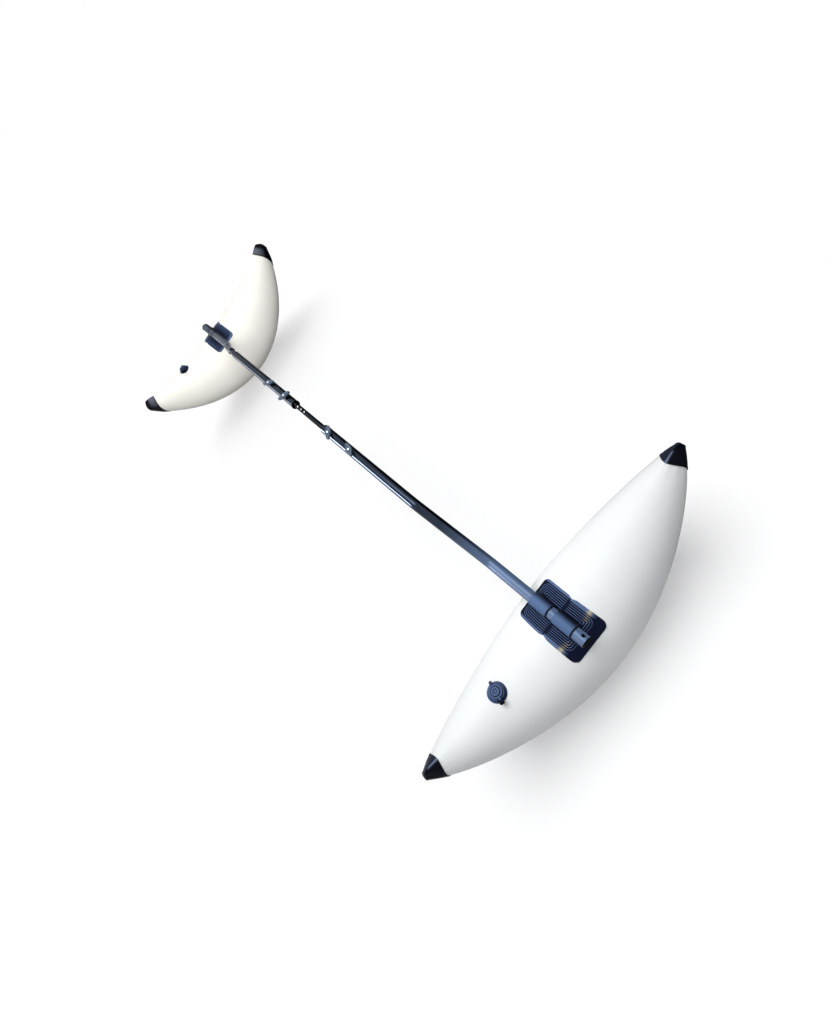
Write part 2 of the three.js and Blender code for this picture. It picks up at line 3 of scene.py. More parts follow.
import logging
import math
from dataclasses import dataclass, field
from enum import Enum
from typing import Any, Callable, Optional, Sequence, Union

import bmesh
import bpy
from mathutils import Matrix, Vector


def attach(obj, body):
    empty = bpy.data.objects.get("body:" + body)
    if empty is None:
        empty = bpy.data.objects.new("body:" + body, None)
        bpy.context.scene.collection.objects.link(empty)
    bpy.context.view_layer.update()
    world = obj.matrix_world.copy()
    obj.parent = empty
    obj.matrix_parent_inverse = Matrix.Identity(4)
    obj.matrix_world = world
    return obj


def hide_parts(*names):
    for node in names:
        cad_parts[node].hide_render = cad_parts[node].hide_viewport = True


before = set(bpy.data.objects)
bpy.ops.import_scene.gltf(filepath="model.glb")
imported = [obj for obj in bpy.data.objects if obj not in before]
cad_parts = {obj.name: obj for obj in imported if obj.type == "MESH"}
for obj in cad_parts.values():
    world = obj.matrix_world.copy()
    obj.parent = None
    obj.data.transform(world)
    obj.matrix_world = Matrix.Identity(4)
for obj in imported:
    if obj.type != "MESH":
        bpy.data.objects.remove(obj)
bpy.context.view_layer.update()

log = logging.getLogger("outrigger")

Place = Callable[[float, float], Vector]
Mark = Callable[[float, float], float]
Tone = tuple[float, float, float]
Point = tuple[float, float, float]
Socket = bpy.types.NodeSocket
Feed = Union[float, Sequence[float], Socket]
MM = 0.001
LEVEL = 1e-7
# Mesh mark that finishes mix toward a paler tone: wear, and painted highlights, sheen and reflections.
WEAR_AND_PAINTED_SHEEN = "rubbed"
# Mesh mark for painted glints: a pale beige tone on rib crests where sun glints fall.
GLINT_MARKS = "silted"
FLOAT_LIT = "lit_by_the_float_lights"
STRIP_LIT = "lit_by_the_strip"
NOT_FLOOR = "all_but_the_floor"


class Side(Enum):
    """The two ends of the outrigger, with the sign of their X."""

    NEAR = 1
    FAR = -1

    @property
    def label(self) -> str:
        """The word that this side's nodes and bodies start with."""
        return self.name.lower()


class Where(Enum):
    """Which of the two mounts on a float, or of the two clamps on an arm."""

    INNER = "inner"
    OUTER = "outer"


def tone(red: int, green: int, blue: int) -> Tone:
    """Turns a display colour of 0 to 255 into the linear values that shaders take."""
    return tuple(((c / 255 + 0.055) / 1.055) ** 2.4 if c > 10 else c / 255 / 12.92 for c in (red, green, blue))


def smooth_step(low: float, high: float, value: float) -> float:
    """Rises smoothly from 0 at low to 1 at high."""
    share = min(max((value - low) / (high - low), 0.0), 1.0)
    return share * share * (3 - 2 * share)


def bell(distance: float, breadth: float) -> float:
    """Falls smoothly from 1 in the middle to nearly 0 at twice the breadth."""
    return math.exp(-((distance / breadth) ** 2))


# ---- Node trees ----


class Desk:
    """A node tree with short ways to add nodes and join them."""

    def __init__(self, tree: bpy.types.NodeTree) -> None:
        """Takes the tree that the nodes go into."""
        self.tree = tree

    def add(self, kind: str, inputs: Optional[dict] = None, **settings: Any) -> bpy.types.Node:
        """Adds a node.

        Args:
            kind: the node's type name.
            inputs: values or output sockets, by input name or place.
            settings: attributes of the node.

        Returns:
            The new node.
        """
        node = self.tree.nodes.new(kind)
        for key, value in settings.items():
            setattr(node, key, value)
        for key, value in (inputs or {}).items():
            self.feed(node.inputs[key], value)
        return node

    def feed(self, socket: Socket, value: Feed) -> None:
        """Joins an output to a socket, or sets the socket's own value.

        Args:
            socket: the input socket.
            value: an output socket, or the value itself.
        """
        if isinstance(value, Socket):
            self.tree.links.new(value, socket)
        else:
            socket.default_value = value

    def math(self, operation: str, first: Feed, second: Feed = 0.0, clamp: bool = False) -> Socket:
        """A Math node's result."""
        return self.add("ShaderNodeMath", {0: first, 1: second}, operation=operation, use_clamp=clamp).outputs[0]

    def mix(self, share: Feed, first: Feed, second: Feed) -> Socket:
        """A blend of two colours.

        Args:
            share: how much of the second colour, 0 to 1.
            first: the colour at 0, a socket or three linear values.
            second: the colour at 1, the same.

        Returns:
            The blend's output.
        """
        node = self.add("ShaderNodeMix", data_type="RGBA")
        for name, value in (("Factor", share), ("A", first), ("B", second)):
            if name != "Factor" and not isinstance(value, Socket):
                value = (*value, 1.0)
            self.feed(next(s for s in node.inputs if s.name == name and s.enabled), value)
        return next(s for s in node.outputs if s.enabled)

    def spread(self, value: Feed, low: float, high: float, to_low: float = 0.0, to_high: float = 1.0) -> Socket:
        """A value spread from one range to another and held inside it."""
        return self.add("ShaderNodeMapRange", {"Value": value, "From Min": low, "From Max": high,
                                               "To Min": to_low, "To Max": to_high}).outputs["Result"]

    def place(self) -> Socket:
        """The object's own coordinates."""
        return self.add("ShaderNodeTexCoord").outputs["Object"]

    def attribute(self, name: str) -> Socket:
        """A value that the mesh carries at its points."""
        return self.add("ShaderNodeAttribute", attribute_name=name).outputs["Fac"]

    def noise(self, place: Feed, scale: Feed, detail: float, roughness: float = 0.5,
              distortion: float = 0.0) -> Socket:
        """A noise texture's value."""
        return self.add("ShaderNodeTexNoise", {"Vector": place, "Scale": scale, "Detail": detail,
                                               "Roughness": roughness, "Distortion": distortion}).outputs["Fac"]

    def bump(self, height: Feed, distance: float, **normal: Feed) -> Socket:
        """The normal that a height of this distance gives, on top of another Normal if one is given."""
        return self.add("ShaderNodeBump", {"Height": height, "Distance": distance, **normal}).outputs["Normal"]

    def seen(self) -> Socket:
        """1 for rays that show a surface to the camera, directly, mirrored or through glass, and 0 for light."""
        path = self.add("ShaderNodeLightPath").outputs
        return self.math("ADD", self.math("ADD", path["Is Camera Ray"], path["Is Glossy Ray"]),
                         path["Is Transmission Ray"], clamp=True)


def new_group(name: str, inputs: dict, outputs: dict) -> tuple[bpy.types.NodeTree, Desk, dict, bpy.types.Node]:
    """Starts a shader node group.

    Args:
        name: the group's name.
        inputs: the default value of each input by name, a number or a vector.
        outputs: the socket type of each output by name.

    Returns:
        The group, a desk on it, its input sockets by name and its output node.
    """
    group = bpy.data.node_groups.new(name, "ShaderNodeTree")
    for key, value in inputs.items():
        kind = "NodeSocketFloat" if isinstance(value, float) else "NodeSocketVector"
        group.interface.new_socket(key, in_out="INPUT", socket_type=kind).default_value = value
    for key, kind in outputs.items():
        group.interface.new_socket(key, in_out="OUTPUT", socket_type=kind)
    desk = Desk(group)
    entry = desk.add("NodeGroupInput")
    return group, desk, {s.name: s for s in entry.outputs if s.name}, desk.add("NodeGroupOutput")


def grain_group() -> bpy.types.NodeTree:
    """Makes the moulding grain: fine noise and cells as a height, and slow blotches as a tone.

    Returns:
        The group.
    """
    group, desk, given, out = new_group("moulding_grain", {"Cells per metre": 900.0, "Blotches per metre": 14.0},
                                        {"Height": "NodeSocketFloat", "Blotch": "NodeSocketFloat"})
    place = desk.place()
    fine = desk.noise(place, given["Cells per metre"], 3.0)
    cells = desk.add("ShaderNodeTexVoronoi", {"Vector": place, "Scale": given["Cells per metre"]}, feature="F1")
    slow = desk.noise(place, given["Blotches per metre"], 4.0, 0.6)
    height = desk.math("ADD", desk.math("MULTIPLY", fine, 0.6),
                       desk.math("MULTIPLY", cells.outputs["Distance"], 0.4))
    desk.feed(out.inputs["Height"], height)
    desk.feed(out.inputs["Blotch"], desk.spread(slow, 0.3, 0.7))
    return group


def wear_group() -> bpy.types.NodeTree:
    """Makes the edge wear: sharp outward edges, broken up by noise.

    Returns:
        The group.
    """
    group, desk, given, out = new_group("edge_wear", {"Start": 0.5, "Breadth": 0.05, "Breaks per metre": 220.0},
                                        {"Worn": "NodeSocketFloat"})
    bend = desk.add("ShaderNodeNewGeometry").outputs["Pointiness"]
    edge = desk.math("DIVIDE", desk.math("SUBTRACT", bend, given["Start"]), given["Breadth"], clamp=True)
    rough = desk.spread(desk.noise(desk.place(), given["Breaks per metre"], 5.0), 0.35, 0.62)
    desk.feed(out.inputs["Worn"], desk.math("MULTIPLY", edge, rough, clamp=True))
    return group


def drawn_group() -> bpy.types.NodeTree:
    """Makes the marks of a drawn tube: fine lines along it as a height, long scuffs as a mask.

    Returns:
        The group.
    """
    group, desk, given, out = new_group("drawn_lines", {"Stretch": (6.0, 900.0, 900.0)},
                                        {"Height": "NodeSocketFloat", "Scuff": "NodeSocketFloat"})
    drawn = desk.add("ShaderNodeVectorMath", {0: desk.place(), 1: given["Stretch"]}, operation="MULTIPLY").outputs[0]
    desk.feed(out.inputs["Height"], desk.noise(drawn, 1.0, 3.0, 0.6))
    desk.feed(out.inputs["Scuff"], desk.spread(desk.noise(drawn, 0.35, 6.0, 0.7), 0.60, 0.74))
    return group


def weave_group() -> bpy.types.NodeTree:
    """Makes the weave that shows faintly through a cloth's coating, from the piece's own UV map.

    Returns:
        The group.
    """
    group, desk, given, out = new_group("coated_weave", {"Threads": (600.0, 700.0, 1.0)},
                                        {"Height": "NodeSocketFloat"})
    place = desk.add("ShaderNodeUVMap").outputs["UV"]
    laid = desk.add("ShaderNodeVectorMath", {0: place, 1: given["Threads"]}, operation="MULTIPLY").outputs[0]
    parts = desk.add("ShaderNodeSeparateXYZ", {0: laid}).outputs
    warp, weft = (desk.math("SINE", desk.math("MULTIPLY", parts[way], 2 * math.pi)) for way in "XY")
    desk.feed(out.inputs["Height"], desk.spread(desk.math("MULTIPLY", warp, weft), -1.0, 1.0))
    return group


def dust_group() -> bpy.types.NodeTree:
    """Makes the dust and dried spray: more of it on faces that look up.

    Returns:
        The group.
    """
    group, desk, given, out = new_group("settled_dust", {"Specks per metre": 60.0, "Amount": 0.3},
                                        {"Dust": "NodeSocketFloat"})
    facing = desk.add("ShaderNodeSeparateXYZ", {0: desk.add("ShaderNodeNewGeometry").outputs["Normal"]})
    up = desk.spread(facing.outputs["Z"], 0.1, 1.0)
    specks = desk.spread(desk.noise(desk.place(), given["Specks per metre"], 8.0, 0.75), 0.42, 0.75)
    desk.feed(out.inputs["Dust"], desk.math("MULTIPLY", desk.math("MULTIPLY", up, specks), given["Amount"]))
    return group


GROUP_MAKERS: dict[str, Callable[[], bpy.types.NodeTree]] = {
    "grain": grain_group, "wear": wear_group, "drawn": drawn_group, "weave": weave_group, "dust": dust_group}
GROUPS: dict[str, bpy.types.NodeTree] = {}


def use_group(desk: Desk, name: str, values: dict) -> bpy.types.bpy_prop_collection:
    """Places one of the shared groups in a material with the material's own values.

    Args:
        desk: the desk on the material's tree.
        name: the group's short name.
        values: what its inputs get, by name.

    Returns:
        The outputs of the placed group.
    """
    if name not in GROUPS:
        GROUPS[name] = GROUP_MAKERS[name]()
    node = desk.add("ShaderNodeGroup", node_tree=GROUPS[name])
    for key, value in values.items():
        desk.feed(node.inputs[key], value)
    return node.outputs


# ---- Finishes ----


@dataclass(frozen=True)
class Finish:
    """A finish with the values that all of them share."""

    name: str
    base: Tone
    roughness: float

    def start(self) -> tuple[bpy.types.Material, Desk, bpy.types.Node]:
        """Makes the material with its one shader.

        Returns:
            The material, a desk on its tree, and the Principled node.
        """
        material = bpy.data.materials.new(self.name)
        material.use_nodes = True
        material.diffuse_color = (*self.base, 1.0)
        return material, Desk(material.node_tree), material.node_tree.nodes["Principled BSDF"]

    def blotched(self, desk: Desk, blotch: Socket, depth: float) -> Socket:
        """The base tone with blotches of the same tone times the depth."""
        return desk.mix(blotch, self.base, tuple(depth * c for c in self.base))

    def gloss(self, desk: Desk, mask: Socket, less: float, more: float) -> Socket:
        """The roughness, spread by a mask from a little less to a little more."""
        return desk.spread(mask, 0, 1, self.roughness - less, self.roughness + more)

    def material(self) -> bpy.types.Material:
        """Builds the finished material."""
        raise NotImplementedError


@dataclass(frozen=True)
class CoatedCloth(Finish):
    """PVC-coated cloth of an inflated float or of its end caps."""

    shade: Tone = (0.8, 0.8, 0.8)
    threads: Point = (620.0, 760.0, 1.0)
    weave_height: float = 0.00003
    crease_height: float = 0.0006
    creases_per_metre: float = 9.0
    dust: float = 0.12
    dust_tone: Tone = (0.5, 0.47, 0.42)
    # Tone of the painted highlight and sheen where the mesh marks them.
    rubbed: Tone = (0.8, 0.8, 0.8)
    # rim and the two values after it: a painted grey shade that grows toward the silhouette.
    rim: float = 0.0
    rim_from: float = 0.88
    rim_tone: Tone = tone(120, 122, 128)
    specular: float = 0.5

    def material(self) -> bpy.types.Material:
        """Builds the cloth: weave, slow creases, blotches of tone and gloss, painted highlights, a painted grey edge
        shade and a little dust.

        Returns:
            The material.
        """
        material, desk, shader = self.start()
        grain = use_group(desk, "grain", {"Cells per metre": 420.0, "Blotches per metre": 6.0})
        weave = use_group(desk, "weave", {"Threads": self.threads})
        dust = use_group(desk, "dust", {"Specks per metre": 45.0, "Amount": self.dust})
        cloth = desk.mix(grain["Blotch"], self.base, self.shade)
        # Painted highlight and sheen: the marked places turn toward the marked tone.
        cloth = desk.mix(desk.attribute(WEAR_AND_PAINTED_SHEEN), cloth, self.rubbed)
        # Painted shade: grey mixed in where the surface turns away from the view.
        facing = desk.add("ShaderNodeLayerWeight", {"Blend": 0.5}).outputs["Facing"]
        cloth = desk.mix(desk.spread(facing, self.rim_from, 1.0, 0.0, self.rim), cloth, self.rim_tone)
        desk.feed(shader.inputs["Base Color"], desk.mix(dust["Dust"], cloth, self.dust_tone))
        desk.feed(shader.inputs["Roughness"], self.gloss(desk, grain["Blotch"], 0.05, 0.07))
        slow = desk.noise(desk.place(), self.creases_per_metre, 2.0, distortion=0.4)
        creases = desk.bump(slow, self.crease_height)
        desk.feed(shader.inputs["Normal"], desk.bump(weave["Height"], self.weave_height, Normal=creases))
        shader.inputs["Specular IOR Level"].default_value = self.specular
        return material


@dataclass(frozen=True)
class TubeMetal(Finish):
    """Anodised tube, drawn along X, with scuffs, and a paler, duller, less metallic band of painted sky reflection
    where the mesh marks it.
    """

    worn: Tone = (0.4, 0.42, 0.45)
    # Tone of the painted sky reflection band.
    rubbed: Tone = (0.1, 0.1, 0.1)
    edge_tint: Tone = (0.9, 0.92, 0.95)
    lines_height: float = 0.000005
    scuffs: float = 0.35
    rubbed_roughness: float = 0.26
    rubbed_metallic: float = 0.2

    def material(self) -> bpy.types.Material:
        """Builds the tube: drawn lines, long scuffs, worn edges, blotches of gloss and a painted sky reflection band.

        Returns:
            The material.
        """
        material, desk, shader = self.start()
        grain = use_group(desk, "grain", {"Cells per metre": 1400.0, "Blotches per metre": 22.0})
        lines = use_group(desk, "drawn", {"Stretch": (5.0, 700.0, 700.0)})
        wear = use_group(desk, "wear", {"Start": 0.63, "Breadth": 0.10, "Breaks per metre": 320.0})
        # Painted reflection: the marked band turns paler and bluish, duller and less metallic.
        sheen_and_wear_mask = desk.attribute(WEAR_AND_PAINTED_SHEEN)
        skin = desk.mix(sheen_and_wear_mask, self.blotched(desk, grain["Blotch"], 0.72), self.rubbed)
        worn = desk.math("MAXIMUM", desk.math("MULTIPLY", lines["Scuff"], self.scuffs), wear["Worn"])
        desk.feed(shader.inputs["Base Color"], desk.mix(worn, skin, self.worn))
        gloss = desk.spread(lines["Height"], 0.3, 0.7, self.roughness - 0.04, self.roughness + 0.06)
        dulled = desk.math("MULTIPLY", sheen_and_wear_mask, self.rubbed_roughness)
        desk.feed(shader.inputs["Roughness"], desk.math("ADD", gloss, dulled))
        desk.feed(shader.inputs["Normal"], desk.bump(lines["Height"], self.lines_height))
        desk.feed(shader.inputs["Metallic"], desk.spread(sheen_and_wear_mask, 0, 1, 1.0, self.rubbed_metallic))
        shader.inputs["Specular Tint"].default_value = (*self.edge_tint, 1)
        return material


@dataclass(frozen=True)
class Moulding(Finish):
    """Moulded rubber or plastic."""

    # Tone of worn edges, and of painted highlights and sheen where the mesh marks them.
    worn: Tone = (0.3, 0.32, 0.36)
    cells: float = 1100.0
    grain_height: float = 0.00006
    # Tone of painted glints on marked rib crests.
    silt: Tone = (0.33, 0.30, 0.24)
    dust: float = 0.04
    dust_tone: Tone = tone(150, 152, 156)
    wear: float = 0.6
    wear_breadth: float = 0.09
    specular: float = 0.3

    def material(self) -> bpy.types.Material:
        """Builds the moulding: grain, blotches of gloss, worn edges, painted highlights and sheen where marked, painted
        glints and dust.

        Returns:
            The material.
        """
        material, desk, shader = self.start()
        grain = use_group(desk, "grain", {"Cells per metre": self.cells, "Blotches per metre": 30.0})
        wear = use_group(desk, "wear", {"Breadth": self.wear_breadth, "Breaks per metre": 260.0})
        dust = use_group(desk, "dust", {"Specks per metre": 140.0, "Amount": self.dust})
        sheen_and_wear_mask = desk.attribute(WEAR_AND_PAINTED_SHEEN)
        # Wear at edges, and painted highlights and sheen where the mesh marks them.
        worn = desk.math("MAXIMUM", desk.math("MULTIPLY", wear["Worn"], self.wear), sheen_and_wear_mask)
        rubbed = desk.mix(worn, self.blotched(desk, grain["Blotch"], 0.7), self.worn)
        # Painted glints: a pale beige tone where the mesh marks glints, on highlighted crests.
        glint_share = desk.math("MULTIPLY", desk.attribute(GLINT_MARKS), desk.spread(sheen_and_wear_mask, 0.0, 0.5))
        silted = desk.mix(glint_share, rubbed, self.silt)
        desk.feed(shader.inputs["Base Color"], desk.mix(dust["Dust"], silted, self.dust_tone))
        desk.feed(shader.inputs["Roughness"], self.gloss(desk, grain["Blotch"], 0.06, 0.08))
        desk.feed(shader.inputs["Normal"], desk.bump(grain["Height"], self.grain_height))
        shader.inputs["Specular IOR Level"].default_value = self.specular
        return material


@dataclass(frozen=True)
class BrightSteel(Finish):
    """Polished stainless steel."""

    grain_height: float = 0.00001

    def material(self) -> bpy.types.Material:
        """Builds the steel: a very fine grain and slow blotches of gloss.

        Returns:
            The material.
        """
        material, desk, shader = self.start()
        grain = use_group(desk, "grain", {"Cells per metre": 2600.0, "Blotches per metre": 90.0})
        desk.feed(shader.inputs["Base Color"], self.blotched(desk, grain["Blotch"], 0.86))
        desk.feed(shader.inputs["Roughness"], self.gloss(desk, grain["Blotch"], 0.0, 0.1))
        desk.feed(shader.inputs["Normal"], desk.bump(grain["Height"], self.grain_height))
        shader.inputs["Metallic"].default_value = 1.0
        return material


@dataclass
class Palette:
    """All the finishes, each made once."""

    finishes: tuple[Finish, ...] = (
        # The near and far copies of a finish are one material, toned apart as painted light for how each end is lit;
        # rim is a painted grey shade at the silhouette.
        CoatedCloth("near_float_skin", tone(248, 250, 250), 0.50, shade=tone(243, 246, 248), dust=0.05,
                    dust_tone=tone(205, 208, 210), rim=0.55, specular=0.2),
        CoatedCloth("far_float_skin", tone(252, 250, 243), 0.50, shade=tone(249, 245, 236), dust=0.05,
                    dust_tone=tone(214, 208, 194), rim=0.7, specular=0.2),
        # On the caps the marked tone is a painted highlight along the near crest and a painted sheen on the far top
        # facet.
        CoatedCloth("near_cap_cloth", tone(4, 6, 17), 0.42, shade=tone(3, 5, 14), rubbed=tone(140, 154, 190),
                    crease_height=0.0012, dust=0.005, threads=(150.0, 180.0, 1.0), specular=0.04),
        CoatedCloth("far_cap_cloth", tone(9, 11, 16), 0.42, shade=tone(5, 6, 9), rubbed=tone(112, 116, 130),
                    crease_height=0.0012, dust=0.01, threads=(150.0, 180.0, 1.0), specular=0.05),
        # On the tubes the marked tone is a painted sky reflection on their lower length.
        TubeMetal("near_anodised", tone(50, 58, 72), 0.14, worn=tone(120, 132, 152), rubbed=tone(92, 116, 154)),
        TubeMetal("far_anodised", tone(50, 57, 68), 0.18, worn=tone(112, 120, 132), rubbed=tone(74, 83, 98)),
        TubeMetal("black_rod", tone(12, 16, 22), 0.18, worn=tone(90, 96, 108), scuffs=0.08),
        BrightSteel("bright_steel", tone(240, 242, 244), 0.14),
        Moulding("knob_moulding", tone(92, 112, 142), 0.42, worn=tone(176, 194, 216), wear=0.5, specular=0.25),
        Moulding("black_moulding", tone(5, 5, 7), 0.72, worn=tone(30, 32, 38), dust=0.0, wear=0.1, specular=0.02),
        # On the pads the paler tone is a painted highlight on rib crests and a painted sheen on borders; the beige tone
        # is painted glints.
        Moulding("pad_rubber", tone(9, 16, 44), 0.42, worn=tone(112, 138, 184), silt=tone(180, 172, 150),
                 cells=700.0, dust=0.01, wear=0.0, specular=0.05),
        # On the tunnels the paler tone is a painted sheen on their top and -Y side.
        Moulding("near_tunnel_rubber", tone(12, 20, 46), 0.48, worn=tone(88, 114, 156), cells=700.0, dust=0.01,
                 wear=0.0, specular=0.12),
        Moulding("far_tunnel_rubber", tone(14, 18, 28), 0.46, worn=tone(64, 74, 90), cells=700.0, dust=0.01,
                 wear=0.0, specular=0.15),
        Moulding("ring_rubber", tone(5, 6, 10), 0.45, worn=tone(26, 28, 36), dust=0.0, wear=0.1, specular=0.03),
        # On the valves the paler tone is a painted highlight on rims, cap and strap, besides edge wear.
        Moulding("near_valve_moulding", tone(13, 24, 64), 0.34, worn=tone(98, 126, 176), wear=0.4, dust=0.01,
                 specular=0.12),
        Moulding("far_valve_moulding", tone(9, 15, 40), 0.34, worn=tone(70, 90, 134), wear=0.4, dust=0.01,
                 specular=0.08),
        Moulding("valve_dark", tone(5, 8, 24), 0.38, worn=tone(50, 60, 88), wear=0.15, dust=0.0, specular=0.04),
    )
    made: dict[str, bpy.types.Material] = field(default_factory=dict)

    def __getitem__(self, name: str) -> bpy.types.Material:
        """The material of one name, made the first time that it is asked for.

        Args:
            name: the finish's name.

        Returns:
            The material.
        """
        if name not in self.made:
            self.made[name] = next(f for f in self.finishes if f.name == name).material()
        return self.made[name]


PALETTE = Palette()


# ---- Meshes ----


def placed_object(name: str, data: bpy.types.ID) -> bpy.types.Object:
    """Makes an object from its data and puts it in the scene.

    Args:
        name: the object's name.
        data: its mesh, camera or light.

    Returns:
        The object.
    """
    made = bpy.data.objects.new(name, data)
    bpy.context.scene.collection.objects.link(made)
    return made


def mesh_from(bm: bmesh.types.BMesh, name: str) -> bpy.types.Mesh:
    """Turns a bmesh into a mesh and frees it.

    Args:
        bm: the bmesh.
        name: the mesh's name.

    Returns:
        The mesh.
    """
    mesh = bpy.data.meshes.new(name)
    bm.to_mesh(mesh)
    bm.free()
    return mesh


def cleaned(bm: bmesh.types.BMesh, weld: float = 1e-6) -> None:
    """Joins doubled points and turns every face outwards.

    Args:
        bm: the bmesh.
        weld: points closer than this become one, in metres.
    """
    bmesh.ops.remove_doubles(bm, verts=bm.verts[:], dist=weld)
    bmesh.ops.dissolve_degenerate(bm, dist=weld, edges=bm.edges[:])
    bmesh.ops.recalc_face_normals(bm, faces=bm.faces[:])


def placed_piece(bm: bmesh.types.BMesh, name: str, body: str, finish: str, slot: str,
                 nodes: Sequence[str] = (), sharp_deg: float = 38.0) -> bpy.types.Object:
    """Turns a bmesh into a finished piece that rides on a body.

    Args:
        bm: the mesh, in the shared frame and in metres. It is freed.
        name: the piece's name.
        body: the CAD body that it rides on.
        finish: the name of its finish.
        slot: the name of its kind of material, read only to put anodised tubes under their strip light.
        nodes: CAD nodes that the piece stands for.
        sharp_deg: edges that turn by more than this stay sharp.

    Returns:
        The piece's object.
    """
    mesh = mesh_from(bm, name)
    mesh.shade_smooth()
    mesh.set_sharp_from_angle(angle=math.radians(sharp_deg))
    mesh.materials.append(PALETTE[finish])
    piece = placed_object(name, mesh)
    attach(piece, body)
    if nodes:
        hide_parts(*nodes)
    if "float" in body:
        bpy.data.collections[FLOAT_LIT].objects.link(piece)
    side = body.split("_")[0]
    if slot == "anodised_tube":
        bpy.data.collections[f"{side}_{STRIP_LIT}"].objects.link(piece)
    bpy.data.collections[f"{side}_casting"].objects.link(piece)
    log.info("%s: %d faces on %s", name, len(mesh.polygons), body)
    return piece


def laid_grid(bm: bmesh.types.BMesh, rows: int, columns: int, place: Place,
              mark: Optional[Mark] = None, silt: Optional[Mark] = None) -> None:
    """Lays a grid over a surface.

    Args:
        bm: the bmesh that takes it.
        rows: steps along the second share.
        columns: steps along the first share.
        place: gives the point for two shares of 0 to 1.
        mark: gives the strength of wear and of painted highlight and sheen there, for the finish, 0 to 1.
        silt: gives how much painted glint lies there, 0 to 1.
    """
    bm.loops.layers.uv.verify()
    rubbed = bm.verts.layers.float.get(WEAR_AND_PAINTED_SHEEN) or bm.verts.layers.float.new(WEAR_AND_PAINTED_SHEEN)
    silted = bm.verts.layers.float.get(GLINT_MARKS) or bm.verts.layers.float.new(GLINT_MARKS)
    made = bmesh.ops.create_grid(bm, x_segments=columns, y_segments=rows, size=0.5, calc_uvs=True)
    for vert in made["verts"]:
        across, ahead = vert.co.x + 0.5, vert.co.y + 0.5
        vert.co = place(across, ahead)
        vert[rubbed] = mark(across, ahead) if mark else 0.0
        vert[silted] = silt(across, ahead) if silt else 0.0


def close_ends(bm: bmesh.types.BMesh) -> None:
    """Fills the open rims with faces."""
    bmesh.ops.holes_fill(bm, edges=[e for e in bm.edges if e.is_boundary], sides=0)


def level_edges(bm: bmesh.types.BMesh, turn_deg: float) -> list[bmesh.types.BMEdge]:
    """The level edges at which the surface turns by more than an angle."""
    return [e for e in bm.edges if len(e.link_faces) == 2 and e.calc_face_angle(0) > math.radians(turn_deg)
            and abs(e.verts[0].co.z - e.verts[1].co.z) < LEVEL]


def eased(bm: bmesh.types.BMesh, edges: Sequence[bmesh.types.BMEdge], radius: float, segments: int = 2) -> None:
    """Rounds edges, with the radius in metres."""
    bmesh.ops.bevel(bm, geom=edges, offset=radius, offset_type="OFFSET", segments=segments, profile=0.5,
                    affect="EDGES", material=-1, clamp_overlap=True)


def join_into(bm: bmesh.types.BMesh, part: bmesh.types.BMesh, place: Matrix = Matrix.Identity(4)) -> None:
    """Adds one bmesh to another and frees it.

    Args:
        bm: the bmesh that takes it.
        part: the bmesh that is added.
        place: where it is put.
    """
    bmesh.ops.transform(part, matrix=place, verts=part.verts[:])
    carrier = mesh_from(part, "carrier")
    bm.from_mesh(carrier)
    bpy.data.meshes.remove(carrier)


def lathed(bm: bmesh.types.BMesh, profile: Sequence[tuple[float, ...]], place: Matrix, segments: int = 48,
           closed: bool = False, rounding: float = 0.0) -> None:
    """Spins a profile about its own Z axis.

    Args:
        bm: the bmesh that takes it.
        profile: radius and height of each point, in millimetres, and its mark of wear and painted highlight, if any.
        place: where the axis stands.
        segments: steps of the full turn.
        closed: whether the profile closes on itself.
        rounding: radius of the rounded edges, in millimetres.
    """
    part = bmesh.new()
    rubbed = part.verts.layers.float.new(WEAR_AND_PAINTED_SHEEN)
    points = []
    for radius, height, *mark in profile:
        points.append(part.verts.new((radius * MM, 0.0, height * MM)))
        points[-1][rubbed] = sum(mark)
    pairs = list(zip(points, points[1:])) + ([(points[-1], points[0])] if closed else [])
    edges = [part.edges.new(pair) for pair in pairs]
    bmesh.ops.spin(part, geom=points + edges, cent=(0, 0, 0), axis=(0, 0, 1), dvec=(0, 0, 0),
                   angle=2 * math.pi, steps=segments, use_merge=True, use_duplicate=False)
    cleaned(part)
    if rounding:
        eased(part, level_edges(part, 40), rounding * MM)
    join_into(bm, part, place)


def prism(outline: Sequence[tuple[float, float]], low: float, high: float,
          mark: float = 0.0) -> bmesh.types.BMesh:
    """Makes a straight prism over a flat outline, all in millimetres.

    Args:
        outline: X and Y of its corners, in order.
        low: height of its bottom.
        high: height of its top.
        mark: its mark of wear and painted highlight, all over.

    Returns:
        The prism's bmesh.
    """
    part = bmesh.new()
    rubbed = part.verts.layers.float.new(WEAR_AND_PAINTED_SHEEN)
    corners = [part.verts.new((x * MM, y * MM, low * MM)) for x, y in outline]
    for corner in corners:
        corner[rubbed] = mark
    face = part.faces.new(corners)
    grown = bmesh.ops.extrude_face_region(part, geom=[face])
    tops = [v for v in grown["geom"] if isinstance(v, bmesh.types.BMVert)]
    bmesh.ops.translate(part, vec=(0, 0, (high - low) * MM), verts=tops)
    bmesh.ops.recalc_face_normals(part, faces=part.faces[:])
    return part


def box(x: tuple[float, float], y: tuple[float, float], z: tuple[float, float]) -> bmesh.types.BMesh:
    """A box between two values of X, Y and Z, in millimetres."""
    return prism([(x[0], y[0]), (x[1], y[0]), (x[1], y[1]), (x[0], y[1])], *z)


